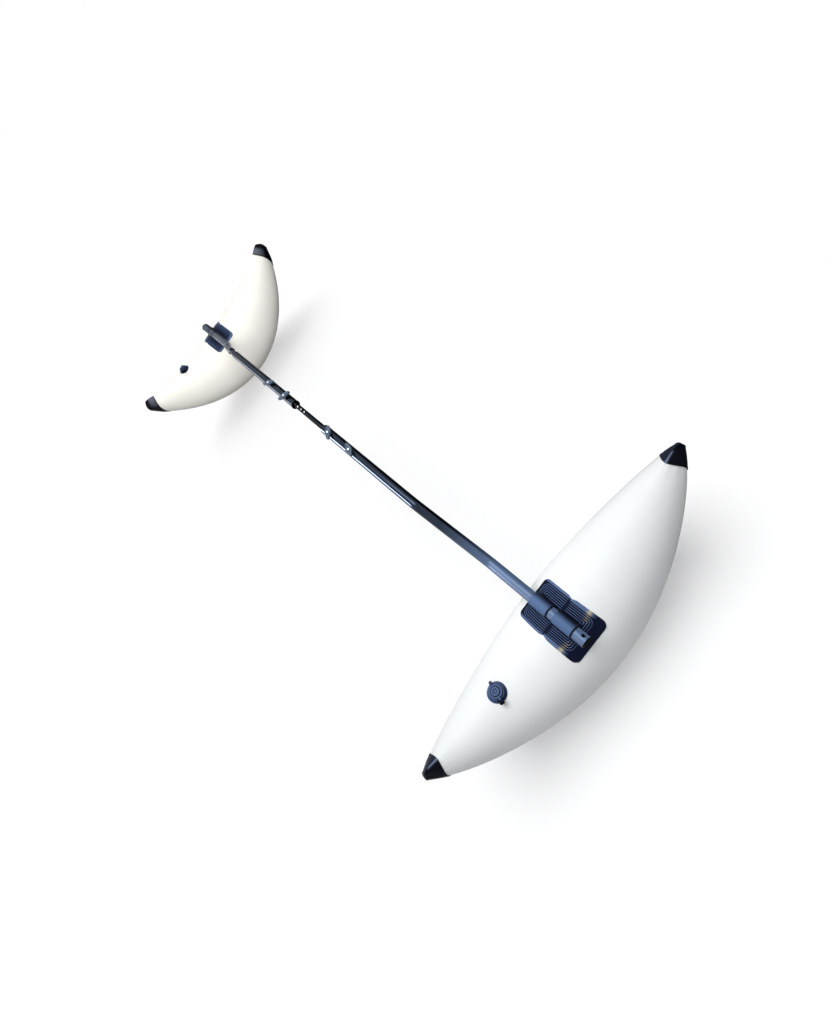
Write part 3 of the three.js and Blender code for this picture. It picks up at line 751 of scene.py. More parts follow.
def drilled(piece: bpy.types.Object, drills: bmesh.types.BMesh, sharp_deg: float = 38.0) -> None:
    """Cuts closed drill shapes out of a piece and keeps the result as its mesh.

    Args:
        piece: the piece.
        drills: the shapes to cut away. It is freed.
        sharp_deg: edges that turn by more than this stay sharp.
    """
    mesh = mesh_from(drills, "drills")
    cutter = placed_object("drills", mesh)
    cut = piece.modifiers.new("drill", "BOOLEAN")
    cut.operation, cut.solver, cut.object = "DIFFERENCE", "EXACT", cutter
    bpy.context.view_layer.update()
    result = bpy.data.meshes.new_from_object(piece.evaluated_get(bpy.context.evaluated_depsgraph_get()))
    piece.modifiers.clear()
    old, piece.data = piece.data, result
    result.name = old.name
    result.set_sharp_from_angle(angle=math.radians(sharp_deg))
    bpy.data.objects.remove(cutter)
    bpy.data.meshes.remove(mesh)
    bpy.data.meshes.remove(old)


# ---- Float ----


@dataclass(frozen=True)
class Section:
    """One cross-section of a float."""

    centre: Vector
    along: Vector
    up: Vector
    half_height: float
    half_width: float
    power: float


@dataclass(frozen=True)
class Hull:
    """The float's form: a parabola for the centre line and parabolas for its thickness, in metres."""

    centre_x: float
    length: float = 1.000
    radius: float = 0.149
    rise: float = 0.211
    end_half_height: float = 0.0295
    end_half_width: float = 0.021
    ridge_share: float = 0.45
    ridge_power: int = 12
    pinch_width: float = 0.012
    pinch_height: float = 0.004
    tip_power: int = 16
    corner_pull: float = 0.015
    corner_from: float = 0.88
    corner_power: float = 2.4
    centre_z: float = 0.1485
    deck_rounds: int = 9
    deck_run: float = 0.38
    deck_step: float = 0.42

    def section(self, share: float) -> Section:
        """Works out one cross-section.

        Args:
            share: place along the float, -1 to 1.

        Returns:
            The cross-section.
        """
        slope = math.atan(4 * self.rise * share / self.length)
        full = 1 - share * share
        tip = share ** self.tip_power
        return Section(
            Vector((self.centre_x, self.length / 2 * share, self.centre_z + self.rise * share * share)),
            Vector((0, math.cos(slope), math.sin(slope))),
            Vector((0, -math.sin(slope), math.cos(slope))),
            self.end_half_height + (self.radius - self.end_half_height) * full - self.pinch_height * tip,
            self.end_half_width + (self.radius - self.end_half_width) * full - self.pinch_width * tip,
            1 + self.ridge_share * share ** self.ridge_power)

    def point(self, share: float, angle: float, lift: float = 0.0) -> Vector:
        """A point of the skin.

        Args:
            share: place along the float, -1 to 1.
            angle: 0 at the crest, a quarter turn towards +X.
            lift: height over the skin.

        Returns:
            The point, never under the ground.
        """
        cut = self.section(share)
        up = math.copysign(abs(math.cos(angle)) ** cut.power, math.cos(angle))
        out = math.copysign(abs(math.sin(angle)) ** cut.power, math.sin(angle))
        spot = cut.centre + cut.up * (up * (cut.half_height + lift))
        spot.x += out * (cut.half_width + lift)
        pulled = self.corner_pull * smooth_step(self.corner_from, 1.0, abs(share)) * max(-up, 0.0) ** self.corner_power
        spot -= cut.along * math.copysign(pulled, share)
        spot.z = max(spot.z, 0.0)
        return spot

    def deck(self, out: float, y: float, lift: float) -> Vector:
        """The point of the upper skin over a place on plan.

        Args:
            out: distance from the float's middle along X.
            y: place along the float.
            lift: height over the skin.

        Returns:
            The point.
        """
        share = y / self.deck_run
        for _ in range(self.deck_rounds):
            cut = self.section(share)
            sine = max(-0.999, min(0.999, out / (cut.half_width + lift)))
            spot = cut.centre + cut.up * ((cut.half_height + lift) * math.sqrt(1 - sine * sine))
            share += (y - spot.y) / self.deck_step
        return Vector((self.centre_x + out, y, spot.z))


@dataclass(frozen=True)
class CapEdge:
    """How far a cap reaches back from the tip, from the crest down to the keel, as one smooth curve."""

    top: float = 0.034
    keel: float = 0.086
    shoulder: float = 0.0405
    keel_drop: float = 0.059
    bend: float = 2.3

    def reach(self, height: float) -> float:
        """The reach back from the tip at a height over the tip's centre line."""
        down = min(max((self.shoulder - height) / (self.shoulder + self.keel_drop), 0.0), 1.0)
        return self.top + (self.keel - self.top) * down ** self.bend


@dataclass(frozen=True)
class Float:
    """One inflated float: hull, seams, end caps, two mounts, two grip rings and a valve."""

    side: Side
    spacing: float = 2.258
    hull_rows: int = 132
    hull_columns: int = 88
    end_crowding: float = 0.12
    pucker_count: int = 17
    pucker_height: float = 0.0005
    pucker_reach: float = 0.11
    seam_height: float = 0.0006
    seam_edge: tuple[float, float] = (0.009, 0.0105)
    bead_height: float = 0.0008
    bead_breadth: float = 0.0016
    cap_columns: int = 96
    cap_rows: int = 26
    cap_round_rows: int = 5
    cap_halvings: int = 26
    cap_lift: float = 0.0026
    cap_wall: float = 0.0021
    cap_end: float = 0.0075
    far_cap_swell: float = 0.0028
    ridge_height: float = 0.0014
    ridge_breadth: float = 0.0022
    weld_depth: float = 0.0007
    weld_inset: float = 0.006
    weld_breadth: float = 0.0012
    crumple_height: float = 0.0007
    crumple_count: int = 9
    # Painted light on the caps: sheen on the far caps' top, a highlight along the near caps' crest, and a lighter
    # near-cap flank toward -X.
    far_cap_rub: float = 0.72
    ridge_rub: float = 0.9
    flank_rub: float = 0.06

    @property
    def label(self) -> str:
        """The word that this float's nodes and bodies start with."""
        return self.side.label

    @property
    def hull(self) -> Hull:
        """The form that every piece of this float sits on."""
        return Hull(centre_x=self.side.value * self.spacing / 2)

    @property
    def body(self) -> str:
        """The CAD body that the float's fixed pieces ride on."""
        return f"{self.label}_float_body"

    def pucker(self, share: float, angle: float) -> float:
        """The height of the soft puckers that run out from under the caps."""
        wave = math.sin(self.pucker_count * angle + 2.3 * math.sin(3 * angle + share))
        return self.pucker_height * bell(1 - abs(share), self.pucker_reach) * wave

    def seam(self, keel: float) -> float:
        """The height of the welded seam, a flat band with a bead, at a distance from the keel line."""
        return (self.seam_height * (1 - smooth_step(*self.seam_edge, keel))
                + self.bead_height * bell(keel, self.bead_breadth))

    def make_hull(self) -> bpy.types.Object:
        """Builds the inflated skin with the flat band of its welded seam.

        Returns:
            The skin.
        """
        hull = self.hull

        def place(around: float, along: float) -> Vector:
            """Works out a point of the skin.

            Args:
                around: share of the way round.
                along: share of the way along.

            Returns:
                The point.
            """
            even = 2 * along - 1
            share = even * (1 + self.end_crowding * (1 - even * even))
            angle = 2 * math.pi * around
            keel = abs(angle - math.pi) * hull.section(share).half_width
            return hull.point(share, angle, self.seam(keel) + self.pucker(share, angle))

        bm = bmesh.new()
        laid_grid(bm, self.hull_rows, self.hull_columns, place)
        cleaned(bm, 1e-5)
        close_ends(bm)
        cleaned(bm, 1e-5)
        return placed_piece(bm, f"{self.label}_hull_skin", self.body, f"{self.label}_float_skin",
                            "white_pvc", [f"{self.label}_float"], sharp_deg=60)

    def make_cap(self, end: int) -> bpy.types.Object:
        """Builds a cap that is welded round one tip.

        Args:
            end: 1 for the +Y tip, -1 for the -Y tip.

        Returns:
            The cap.
        """
        far = self.side is Side.FAR
        hull, edge = self.hull, CapEdge(top=0.041, keel=0.094) if far else CapEdge()
        tip = hull.section(end)
        columns, skin_rows, round_rows = self.cap_columns, self.cap_rows, self.cap_round_rows

        def edge_share(angle: float) -> float:
            """Finds where the cap's edge crosses one line along the skin, by halving.

            Args:
                angle: the line's angle round the float.

            Returns:
                The share along the float.
            """
            low, high = 0.6, 1.0
            for _ in range(self.cap_halvings):
                middle = (low + high) / 2
                spot = hull.point(end * middle, angle, self.cap_lift) - tip.centre
                if spot.dot(tip.along) * -end > edge.reach(spot.dot(tip.up)):
                    low = middle
                else:
                    high = middle
            return low

        lines = []
        for column in range(columns + 1):
            even = column / columns
            angle = 2 * math.pi * even - 0.4 * math.sin(4 * math.pi * even)
            lines.append((angle, edge_share(angle)))

        def swell(step: float) -> float:
            """How much fuller the far caps are, from their edge to the tip."""
            return self.far_cap_swell * smooth_step(0.0, 0.5, step) if far else 0.0

        def crumple(angle: float, share: float) -> float:
            """The height of the creases in the cap's cloth."""
            return self.crumple_height * math.sin(self.crumple_count * angle + 40 * share)

        def crest(angle: float, share: float) -> float:
            """The distance from the crest, along the skin."""
            return min(angle, 2 * math.pi - angle) * hull.section(share).half_width

        def place(around: float, along: float) -> Vector:
            """Works out a point of the cap's outer face, first along the skin and then over the tip.

            Args:
                around: share of the way round.
                along: share of the way along.

            Returns:
                The point.
            """
            angle, start = lines[round(around * columns)]
            row = along * (skin_rows + round_rows)
            if row <= skin_rows:
                step = row / skin_rows
                share = start + (1 - start) * step
                ridge = self.ridge_height * bell(crest(angle, share), self.ridge_breadth)
                from_edge = (share - start) * hull.length / 2
                weld = -self.weld_depth * bell(from_edge - self.weld_inset, self.weld_breadth)
                creases = crumple(angle, share) * smooth_step(0.93, 1.0, share)
                return hull.point(end * share, angle, self.cap_lift + ridge + weld + creases + swell(step))
            turn = (row - skin_rows) / round_rows * math.pi / 2
            rim = hull.point(end, angle, self.cap_lift + crumple(angle, 1.0) + swell(1.0))
            inwards = tip.centre - rim
            return rim + inwards * (1 - math.cos(turn)) + tip.along * (end * self.cap_end * math.sin(turn) ** 0.7)

        def mark(around: float, along: float) -> float:
            """Works out the cap's painted light: sheen on the far one's top, a highlight on the near one's crest and a
            lighter flank.

            Args:
                around: share of the way round.
                along: share of the way along.

            Returns:
                The mark, 0 to 1.
            """
            angle, start = lines[round(around * columns)]
            row = min(along * (skin_rows + round_rows) / skin_rows, 1.0)
            if far:
                facet = 1 - smooth_step(0.12, 0.62, min(angle, 2 * math.pi - angle) / math.pi)
                return self.far_cap_rub * facet * smooth_step(0.02, 0.16, row) * (1 - smooth_step(0.55, 0.92, row))
            facet = self.flank_rub * smooth_step(1.05, 1.5, angle / math.pi)
            ridge = self.ridge_rub * bell(crest(angle, start + (1 - start) * row), 0.0036 - 0.0016 * row)
            return max(ridge * (1 - smooth_step(0.75, 0.95, row)), facet)

        bm = bmesh.new()
        laid_grid(bm, skin_rows + round_rows, columns, place, mark)
        cleaned(bm, 1e-5)
        bmesh.ops.solidify(bm, geom=bm.faces[:], thickness=self.cap_wall)
        cleaned(bm)
        where = "front" if end > 0 else "back"
        return placed_piece(bm, f"{self.label}_{where}_cap_shell", self.body, f"{self.label}_cap_cloth",
                            "black_pvc", [f"{self.label}_cap_{where}"], sharp_deg=50)

    def build(self) -> None:
        """Builds every piece of the float."""
        valve = Valve(self)
        valve.open_skin(self.make_hull())
        for end in (1, -1):
            self.make_cap(end)
        for where in Where:
            Mount(self, where).build()
        valve.build()


@dataclass(frozen=True)
class Mount:
    """One moulded mount, in millimetres: a ribbed pad that follows the deck, a tunnel and its grip ring."""

    float_: Float
    where: Where
    split: float = 0.3
    reach: float = 97.0
    half_width: float = 62.0
    end_spread: float = 2.0
    corner: float = 16.0
    notch: float = 4.0
    notch_run: float = 12.0
    thickness: float = 3.5
    edge_thickness: float = 0.6
    edge_round: float = 2.6
    pad_wall: float = 2.4
    pad_rows: int = 104
    pad_columns: int = 156
    rib_pitch: float = 5.6
    rib_count: int = 6
    rib_height: float = 1.7
    rib_corner: float = 17.0
    groove_depth: float = 0.5
    axis_height: float = 173.0
    tunnel_radius: float = 17.9
    bore_radius: float = 16.45
    flare: float = 2.5
    lip: float = 1.4
    bore_lip: float = 0.8
    foot_y: float = 24.0
    foot_lift: float = 2.6
    flank_steps: int = 7
    arc_steps: int = 20
    tunnel_stations: int = 12
    ring_radius: float = 17.75
    ring_section: float = 1.35
    ring_seat: float = 1.8

    @property
    def label(self) -> str:
        """The word that this float's nodes and bodies start with."""
        return self.float_.side.label

    @property
    def axis_z(self) -> float:
        """The height of the arm's axis over the ground, in metres."""
        return self.float_.hull.centre_z + self.axis_height * MM

    @property
    def toward(self) -> int:
        """The sign of X in which this mount runs from the float's middle."""
        return self.float_.side.value * (1 if self.where is Where.OUTER else -1)

    @property
    def name(self) -> str:
        """The start of the names of this mount's pieces."""
        return f"{self.label}_{self.where.value}"

    @property
    def tunnel_span(self) -> tuple[float, float]:
        """Where the tunnel starts and ends, from the float's middle."""
        return (1.5, 58.0) if self.where is Where.OUTER else (18.0, 71.0)

    @property
    def rib_area(self) -> tuple[float, float]:
        """Half width and reach of the ribbed area."""
        return (51.0, 75.0) if self.where is Where.OUTER else (54.0, 87.0)

    def half_width_at(self, out: float) -> float:
        """Works out half the pad's width.

        Args:
            out: distance from the float's middle.

        Returns:
            Half the width there, with the notch at the split and the rounded corner.
        """
        spread = self.end_spread if self.where is Where.OUTER else 0.0
        start = self.split + self.notch_run
        if out < start:
            return self.half_width - self.notch * (start - out) / self.notch_run
        straight = self.reach - self.corner
        wide = self.half_width + spread * min((out - start) / (straight - start), 1.0)
        if out <= straight:
            return wide
        drop = out - straight
        return wide - self.corner + math.sqrt(max(self.corner ** 2 - drop ** 2, 0.0))

    def inset(self, out: float, y: float) -> float:
        """Works out how many rib pitches a place lies inside the ribbed area.

        Args:
            out: distance from the float's middle.
            y: place along the float.

        Returns:
            The number of pitches, negative outside the area.
        """
        half, end = self.rib_area
        across, ahead = abs(y) - (half - self.rib_corner), out - (end - self.rib_corner)
        outside = math.hypot(max(across, 0), max(ahead, 0)) + min(max(across, ahead), 0) - self.rib_corner
        return -outside / self.rib_pitch

    def relief(self, out: float, y: float) -> float:
        """Works out the pad's height over the skin: rounded rim, flat border and U-shaped ribs.

        Args:
            out: distance from the float's middle.
            y: place along the float.

        Returns:
            The height.
        """
        side_gap = self.half_width_at(out) - abs(y)
        rim = max(min(side_gap, self.reach - out, out - self.split + 1.2), 0.0)
        rounded = math.sqrt(1 - (1 - min(rim / self.edge_round, 1.0)) ** 2)
        height = self.edge_thickness + (self.thickness - self.edge_thickness) * rounded
        inset = self.inset(out, y)
        if 0 < inset < self.rib_count:
            groove = 0.5 + 0.5 * math.cos(2 * math.pi * inset)
            height += self.rib_height * (1 - groove ** 1.3) - self.groove_depth * groove
        return height

    def pad_spot(self, across: float, ahead: float) -> tuple[float, float]:
        """Spreads the pad's grid so that its rows crowd at the rims.

        Args:
            across: share along the float, 0 to 1.
            ahead: share out from the split, 0 to 1.

        Returns:
            Distance from the float's middle and place along the float.
        """
        out = self.split + (self.reach - self.split) * (ahead - 0.035 * math.sin(2 * math.pi * ahead))
        even = 2 * across - 1
        return out, self.half_width_at(out) * (even + 0.06 * math.sin(math.pi * even))

    def make_pad(self) -> bpy.types.Object:
        """Builds the pad.

        Returns:
            The pad.
        """
        hull, far = self.float_.hull, self.float_.side is Side.FAR

        def place(across: float, ahead: float) -> Vector:
            """A point of the pad's top face for two shares."""
            out, y = self.pad_spot(across, ahead)
            return hull.deck(self.toward * out * MM, y * MM, self.relief(out, y) * MM)

        def mark(across: float, ahead: float) -> float:
            """Works out the pad's painted light: a highlight on the ribs' tops and a sheen on its borders.

            Args:
                across: share along the float.
                ahead: share out from the split.

            Returns:
                The mark, 0 to 1.
            """
            out, y = self.pad_spot(across, ahead)
            inset = self.inset(out, y)
            if 0 < inset < self.rib_count:
                # Painted highlight on the rib crests, dimmer near the outer pad's end and the split, and on the far
                # pads stronger toward the sides.
                dim = smooth_step(0.62, 0.80, ahead) if self.where is Where.OUTER else 0.0
                dim = max(dim, 1 - smooth_step(1.0, 8.0, out - self.split))
                rib = 0.5 - 0.5 * math.cos(2 * math.pi * inset)
                if far:
                    return (0.12 + 0.68 * smooth_step(22.0, 62.0, abs(y))) * rib ** 4
                return 0.9 * (1 - 0.85 * dim) * rib ** 9
            # Painted sheen on the borders: on the far pads stronger toward +Y, on the near outer pad fading toward its
            # end.
            if far:
                return (0.28 + 0.24 * smooth_step(-60.0, 30.0, y)) * smooth_step(0.0, 1.0, -inset)
            fade = 1 - smooth_step(0.5, 0.72, ahead) if self.where is Where.OUTER else 1.0
            return 0.62 * fade * smooth_step(0.0, 3.0, abs(y) - self.rib_area[0])

        def silt(across: float, ahead: float) -> float:
            """Works out where painted glints lie: a band across the ribs near the near outer pad's end.

            Args:
                across: share along the float.
                ahead: share out from the split.

            Returns:
                How much painted glint, 0 to 1.
            """
            if self.where is Where.INNER or far:
                return 0.0
            even = abs(2 * across - 1)
            return bell(ahead - 0.60 + 0.08 * even, 0.05) * smooth_step(0.35, 0.6, even)

        bm = bmesh.new()
        laid_grid(bm, self.pad_rows, self.pad_columns, place, mark, silt)
        cleaned(bm)
        bmesh.ops.solidify(bm, geom=bm.faces[:], thickness=self.pad_wall * MM)
        cleaned(bm)
        return placed_piece(bm, f"{self.name}_ribbed_pad", self.float_.body, "pad_rubber", "navy_rubber",
                            [f"{self.label}_mount_{self.where.value}"], sharp_deg=50)

    def section(self, depth: float) -> list[tuple[float, float]]:
        """Works out the tunnel's outer outline round the arm's axis, from one foot over the top to the other.

        Args:
            depth: how far the feet reach down from the axis.

        Returns:
            Points of Y and Z, in order.
        """
        right = []
        for step in range(self.flank_steps + 1):
            share = 1 - step / self.flank_steps
            spread = self.tunnel_radius + self.flare * share + 5.0 * max(0.0, share - 0.72) ** 2 / 0.0784
            right.append((spread, -depth * share))
        for step in range(1, self.arc_steps + 1):
            turn = math.pi / 2 * step / self.arc_steps
            right.append((self.tunnel_radius * math.cos(turn), self.tunnel_radius * math.sin(turn)))
        left = [(-y, z) for y, z in reversed(right[:-1])]
        return right + left

    def make_tunnel(self) -> bpy.types.Object:
        """Builds the tunnel: a closed sleeve with a bore, rolled mouths and feet that flow into the pad.

        Returns:
            The tunnel.
        """
        hull, (start, end), lip = self.float_.hull, self.tunnel_span, self.lip

        def depth(out: float) -> float:
            """How far the feet reach down at a distance from the float's middle."""
            skin = hull.deck(self.toward * out * MM, self.foot_y * MM, self.foot_lift * MM)
            return (self.axis_z - skin.z) / MM

        steps = self.tunnel_stations
        stations = [(start + 0.2 * lip, -0.55 * lip), (start + lip, 0.0)]
        stations += [(start + lip + (end - start - 2 * lip) * s / steps, 0.0) for s in range(1, steps)]
        stations += [(end - lip, 0.0), (end - 0.2 * lip, -0.55 * lip)]
        count = len(self.section(20.0))
        loops = []
        for out, swell in stations:
            ring = []
            for y, z in self.section(depth(out)):
                reach = math.hypot(y, z)
                ring.append((out, y * (reach + swell) / reach, z * (reach + swell) / reach))
            loops.append(ring)
        for out in (end, end - 0.8 * lip, (start + end) / 2, start + 0.8 * lip, start):
            radius = self.bore_radius + (self.bore_lip if out in (start, end) else 0.0)
            loops.append([(out, radius * math.sin(a), radius * math.cos(a)) for a in
                          (math.atan2(y, z) for y, z in self.section(depth(out)))])

        def place(around: float, along: float) -> Vector:
            """A point of the sleeve for two shares."""
            out, y, z = loops[round(along * len(loops)) % len(loops)][round(around * count) % count]
            return Vector((hull.centre_x + self.toward * out * MM, y * MM, self.axis_z + z * MM))

        def mark(around: float, along: float) -> float:
            """Works out the painted sheen on the sleeve: on its top and its -Y side, not at its feet or in its bore.

            Args:
                around: share of the way round.
                along: share of the way along.

            Returns:
                The mark, 0 to 1.
            """
            number = round(along * len(loops)) % len(loops)
            y, z = loops[number][round(around * count) % count][1:]
            facing = (0.8 * z - 0.6 * y) / math.hypot(y, z)
            return smooth_step(-0.35, 0.9, facing) if number < len(stations) else 0.0

        bm = bmesh.new()
        laid_grid(bm, len(loops), count, place, mark)
        cleaned(bm)
        return placed_piece(bm, f"{self.name}_tunnel", self.float_.body, f"{self.label}_tunnel_rubber",
                            "navy_rubber", sharp_deg=50)

    def make_ring(self) -> bpy.types.Object:
        """Builds the rubber ring that grips the arm at the tunnel's mouth that looks away from the rod.

        Returns:
            The ring.
        """
        start, end = self.tunnel_span
        middle = self.ring_seat + (end if self.where is Where.OUTER else -start)
        x = self.float_.hull.centre_x + self.float_.side.value * middle * MM
        place = Matrix.Translation((x, 0, self.axis_z)) @ Matrix.Rotation(math.pi / 2, 4, "Y")
        section = self.ring_section
        profile = [(self.ring_radius + section * math.cos(a), section * math.sin(a)) for a in
                   (2 * math.pi * s / 14 for s in range(14))]
        bm = bmesh.new()
        lathed(bm, profile, place, segments=56, closed=True)
        return placed_piece(bm, f"{self.name}_grip_ring", f"{self.label}_grips", "ring_rubber", "black_rubber",
                            [f"{self.label}_ring_{self.where.value}"])

    def build(self) -> None:
        """Builds the pad, the tunnel and the ring."""
        self.make_pad()
        self.make_tunnel()
        self.make_ring()


@dataclass(frozen=True)
class Valve:
    """The inflation valve, in millimetres: welded base, screw-in body and flip-over cap.

    The flange's rings give its radius, its height over the skin and its painted highlight.
    """

    float_: Float
    share: float = -0.575
    turn_deg: float = -14.0
    slope_step: float = 1 / 24
    # The third value of each ring is its painted highlight.
    flange_rings: tuple[Point, ...] = (
        (15.6, 2.2, 0.0), (18.0, 2.2, 0.0), (20.6, 2.2, 0.0), (21.4, 2.2, 0.05), (22.2, 2.3, 0.2), (22.8, 2.8, 0.75),
        (24.2, 2.9, 0.8), (25.0, 2.8, 0.6), (25.8, 2.3, 0.35), (26.3, 1.5, 0.2), (26.5, 0.5, 0.1))
    flange_wall: float = 1.2
    collar: float = 21.0
    collar_height: float = 7.0
    grip_count: int = 18
    bore: float = 15.5
    barrel: float = 15.0
    throat: float = 12.1
    barrel_bottom: float = -16.0
    gap: float = 0.3
    rim: float = 20.0
    rim_top: float = 10.3
    cap: float = 17.0
    button: float = 10.5
    hinge_reach: float = 30.0
    hinge_height: float = 12.8
    pocket_depth: float = 45.0
    edge_round: float = 0.6

    @property
    def label(self) -> str:
        """The word that this valve's nodes and bodies start with."""
        return self.float_.side.label

    @property
    def place(self) -> Matrix:
        """The valve's own frame, on the crest with Z along the skin's normal.

        Returns:
            The frame.
        """
        hull = self.float_.hull
        here = hull.point(self.share, 0.0)
        run = hull.point(self.share + self.slope_step, 0.0) - hull.point(self.share - self.slope_step, 0.0)
        tilt = Matrix.Rotation(math.atan2(run.z, run.y), 4, "X")
        return Matrix.Translation(here) @ tilt @ Matrix.Rotation(math.radians(self.turn_deg), 4, "Z")

    def make_base(self) -> bpy.types.Object:
        """Builds the flange that follows the skin and the collar with its grip ribs.

        Returns:
            The base.
        """
        label, place, hull = self.label, self.place, self.float_.hull
        last = len(self.flange_rings) - 1

        def flange(around: float, out: float) -> Vector:
            """Works out a point of the flange's top.

            Args:
                around: share of the way round.
                out: share of the way out.

            Returns:
                The point.
            """
            radius, lift, _ = self.flange_rings[round(out * last)]
            turn = 2 * math.pi * around
            spot = place @ Vector((radius * MM * math.cos(turn), radius * MM * math.sin(turn), 0))
            return hull.deck(spot.x - hull.centre_x, spot.y, lift * MM)

        def mark(around: float, out: float) -> float:
            """The flange's painted highlight: on its raised rim, most of all on one side."""
            return self.flange_rings[round(out * last)][2] * (0.55 - 0.45 * math.cos(2 * math.pi * around - 0.7))

        bm = bmesh.new()
        laid_grid(bm, last, 72, flange, mark)
        cleaned(bm)
        bmesh.ops.solidify(bm, geom=bm.faces[:], thickness=self.flange_wall * MM)
        # Painted highlight on the collar's top edge.
        lathed(bm, [(self.bore, -2), (self.collar - 1.2, -2), (self.collar, 3), (self.collar, self.collar_height, 0.35),
                    (self.bore, self.collar_height)], place, segments=72, closed=True, rounding=self.edge_round)
        for step in range(self.grip_count):
            rib = prism([(-1.3, -0.6), (1.3, -0.6), (0.9, 0.6), (-0.9, 0.6)], 2.6, self.collar_height - 0.4)
            turn = Matrix.Rotation(2 * math.pi * step / self.grip_count, 4, "Z")
            join_into(bm, rib, place @ (turn @ Matrix.Translation((0, self.collar * MM, 0))))
        return placed_piece(bm, f"{label}_valve_seat", self.float_.body, f"{label}_valve_moulding", "valve_plastic",
                            [f"{label}_valve_base"])

    def make_body(self) -> None:
        """Builds the screw-in body, with its rim and cross bar, and the dark hinge blocks."""
        label, place = self.label, self.place
        low = self.collar_height + self.gap
        bm = bmesh.new()
        # Painted highlight on the body's rim.
        lathed(bm, [(self.throat, self.barrel_bottom), (self.barrel, self.barrel_bottom), (self.barrel, low),
                    (self.rim, low, 0.1), (self.rim, self.rim_top, 0.8), (18.7, self.rim_top, 0.8), (18.4, 8.3),
                    (17.2, 8.3), (16.9, 9.8), (self.throat, 9.8)], place, segments=64, closed=True)
        bar_end = self.throat + 0.5
        join_into(bm, box((-bar_end, bar_end), (-2.5, 2.5), (self.barrel_bottom, self.barrel_bottom + 2.5)), place)
        placed_piece(bm, f"{label}_valve_barrel", f"{label}_valve", f"{label}_valve_moulding", "valve_plastic",
                     [f"{label}_valve_body"])
        hinge = bmesh.new()
        for y in (-6.4, 4.2):
            self.add_block(hinge, box((19.0, 32.6), (y, y + 2.2), (low, 14.9)))
        self.add_block(hinge, prism([(20.2, -6.2), (32.6, -6.2), (33.6, -4.0), (33.6, 4.0), (32.6, 6.2), (20.2, 6.2)],
                                    low + 0.2, 9.4))
        placed_piece(hinge, f"{label}_valve_hinge", f"{label}_valve", "valve_dark", "valve_plastic")

    def make_cap(self) -> None:
        """Builds the flip-over cap: stepped dome, centre button, strap, knuckle and pull tab."""
        label, place = self.label, self.place
        bottom = self.rim_top + self.gap
        bm = bmesh.new()
        # Painted highlight on the cap's step, dome and button.
        lathed(bm, [(0, bottom - 4), (10.8, bottom - 4), (11.6, bottom), (self.cap, bottom),
                    (self.cap, bottom + 3.2, 0.5), (16.4, bottom + 4.6, 0.9), (15.0, bottom + 5, 0.9),
                    (13.8, bottom + 5, 0.7), (13.0, bottom + 4.0, 0.0), (11.4, bottom + 4.0, 0.0),
                    (self.button, bottom + 5, 0.3), (self.button, bottom + 7.0, 0.7), (9.8, bottom + 7.8, 1.0),
                    (8.4, bottom + 8, 1.0), (6.8, bottom + 7.8, 0.6), (6.0, bottom + 7.2, 0.1),
                    (3.4, bottom + 7.1, 0.5), (0, bottom + 7.1, 0.7)], place, segments=64)
        strap = box((12.5, 25.5), (-3.6, 3.6), (bottom, bottom + 2.2))
        # The strap's raised rib carries a painted highlight.
        rib = prism([(12.5, -2.6), (21.5, -2.2), (21.5, 2.2), (12.5, 2.6)], bottom + 1.0, bottom + 3.2, 1.0)
        tab = prism([(-13.0, -4.5), (-26.0, -4.5), (-28.5, -2.6), (-28.5, 2.6), (-26.0, 4.5), (-13.0, 4.5)],
                    bottom, bottom + 2.6)
        for part in (strap, rib, tab):
            self.add_block(bm, part)
        placed_piece(bm, f"{label}_valve_lid_shell", f"{label}_valve_lid", f"{label}_valve_moulding",
                     "valve_plastic", [f"{label}_valve_cap"])
        knuckle = bmesh.new()
        self.add_block(knuckle, box((24.6, 31.0), (-3.6, 3.6), (bottom, bottom + 3.0)))
        hinge = place @ Matrix.Translation((self.hinge_reach * MM, 0, self.hinge_height * MM))
        lathed(knuckle, [(0, -4.5), (2.5, -4.5), (2.5, 4.5), (0, 4.5)],
               hinge @ Matrix.Rotation(math.pi / 2, 4, "X"), segments=24, rounding=0.4)
        placed_piece(knuckle, f"{label}_valve_lid_knuckle", f"{label}_valve_lid", "valve_dark", "valve_plastic")

    def open_skin(self, skin: bpy.types.Object) -> None:
        """Cuts the pocket that the valve's body and flap hang in out of the float's skin.

        Args:
            skin: the float's skin.
        """
        drills = bmesh.new()
        lathed(drills, [(0, -self.pocket_depth), (self.bore, -self.pocket_depth), (self.bore, self.collar_height),
                        (0, self.collar_height)], self.place, segments=64)
        drilled(skin, drills, sharp_deg=60)

    def add_block(self, bm: bmesh.types.BMesh, block: bmesh.types.BMesh) -> None:
        """Eases a block's edges and adds it in the valve's frame."""
        eased(block, block.edges[:], self.edge_round * MM)
        join_into(bm, block, self.place)

    def build(self) -> None:
        """Builds the valve's pieces, and dresses the flap that stays a CAD node."""
        self.make_base()
        self.make_body()
        self.make_cap()
        dress(f"{self.label}_valve_flap", "ring_rubber")


def dress(node: str, finish: str) -> None:
    """Gives a CAD node that stays visible its finish.

    Args:
        node: the node's name.
        finish: the name of its finish.
    """
    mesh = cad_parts[node].data
    mesh.materials.clear()
    mesh.materials.append(PALETTE[finish])
    log.info("%s: dressed in %s", node, finish)


# ---- Pole ----


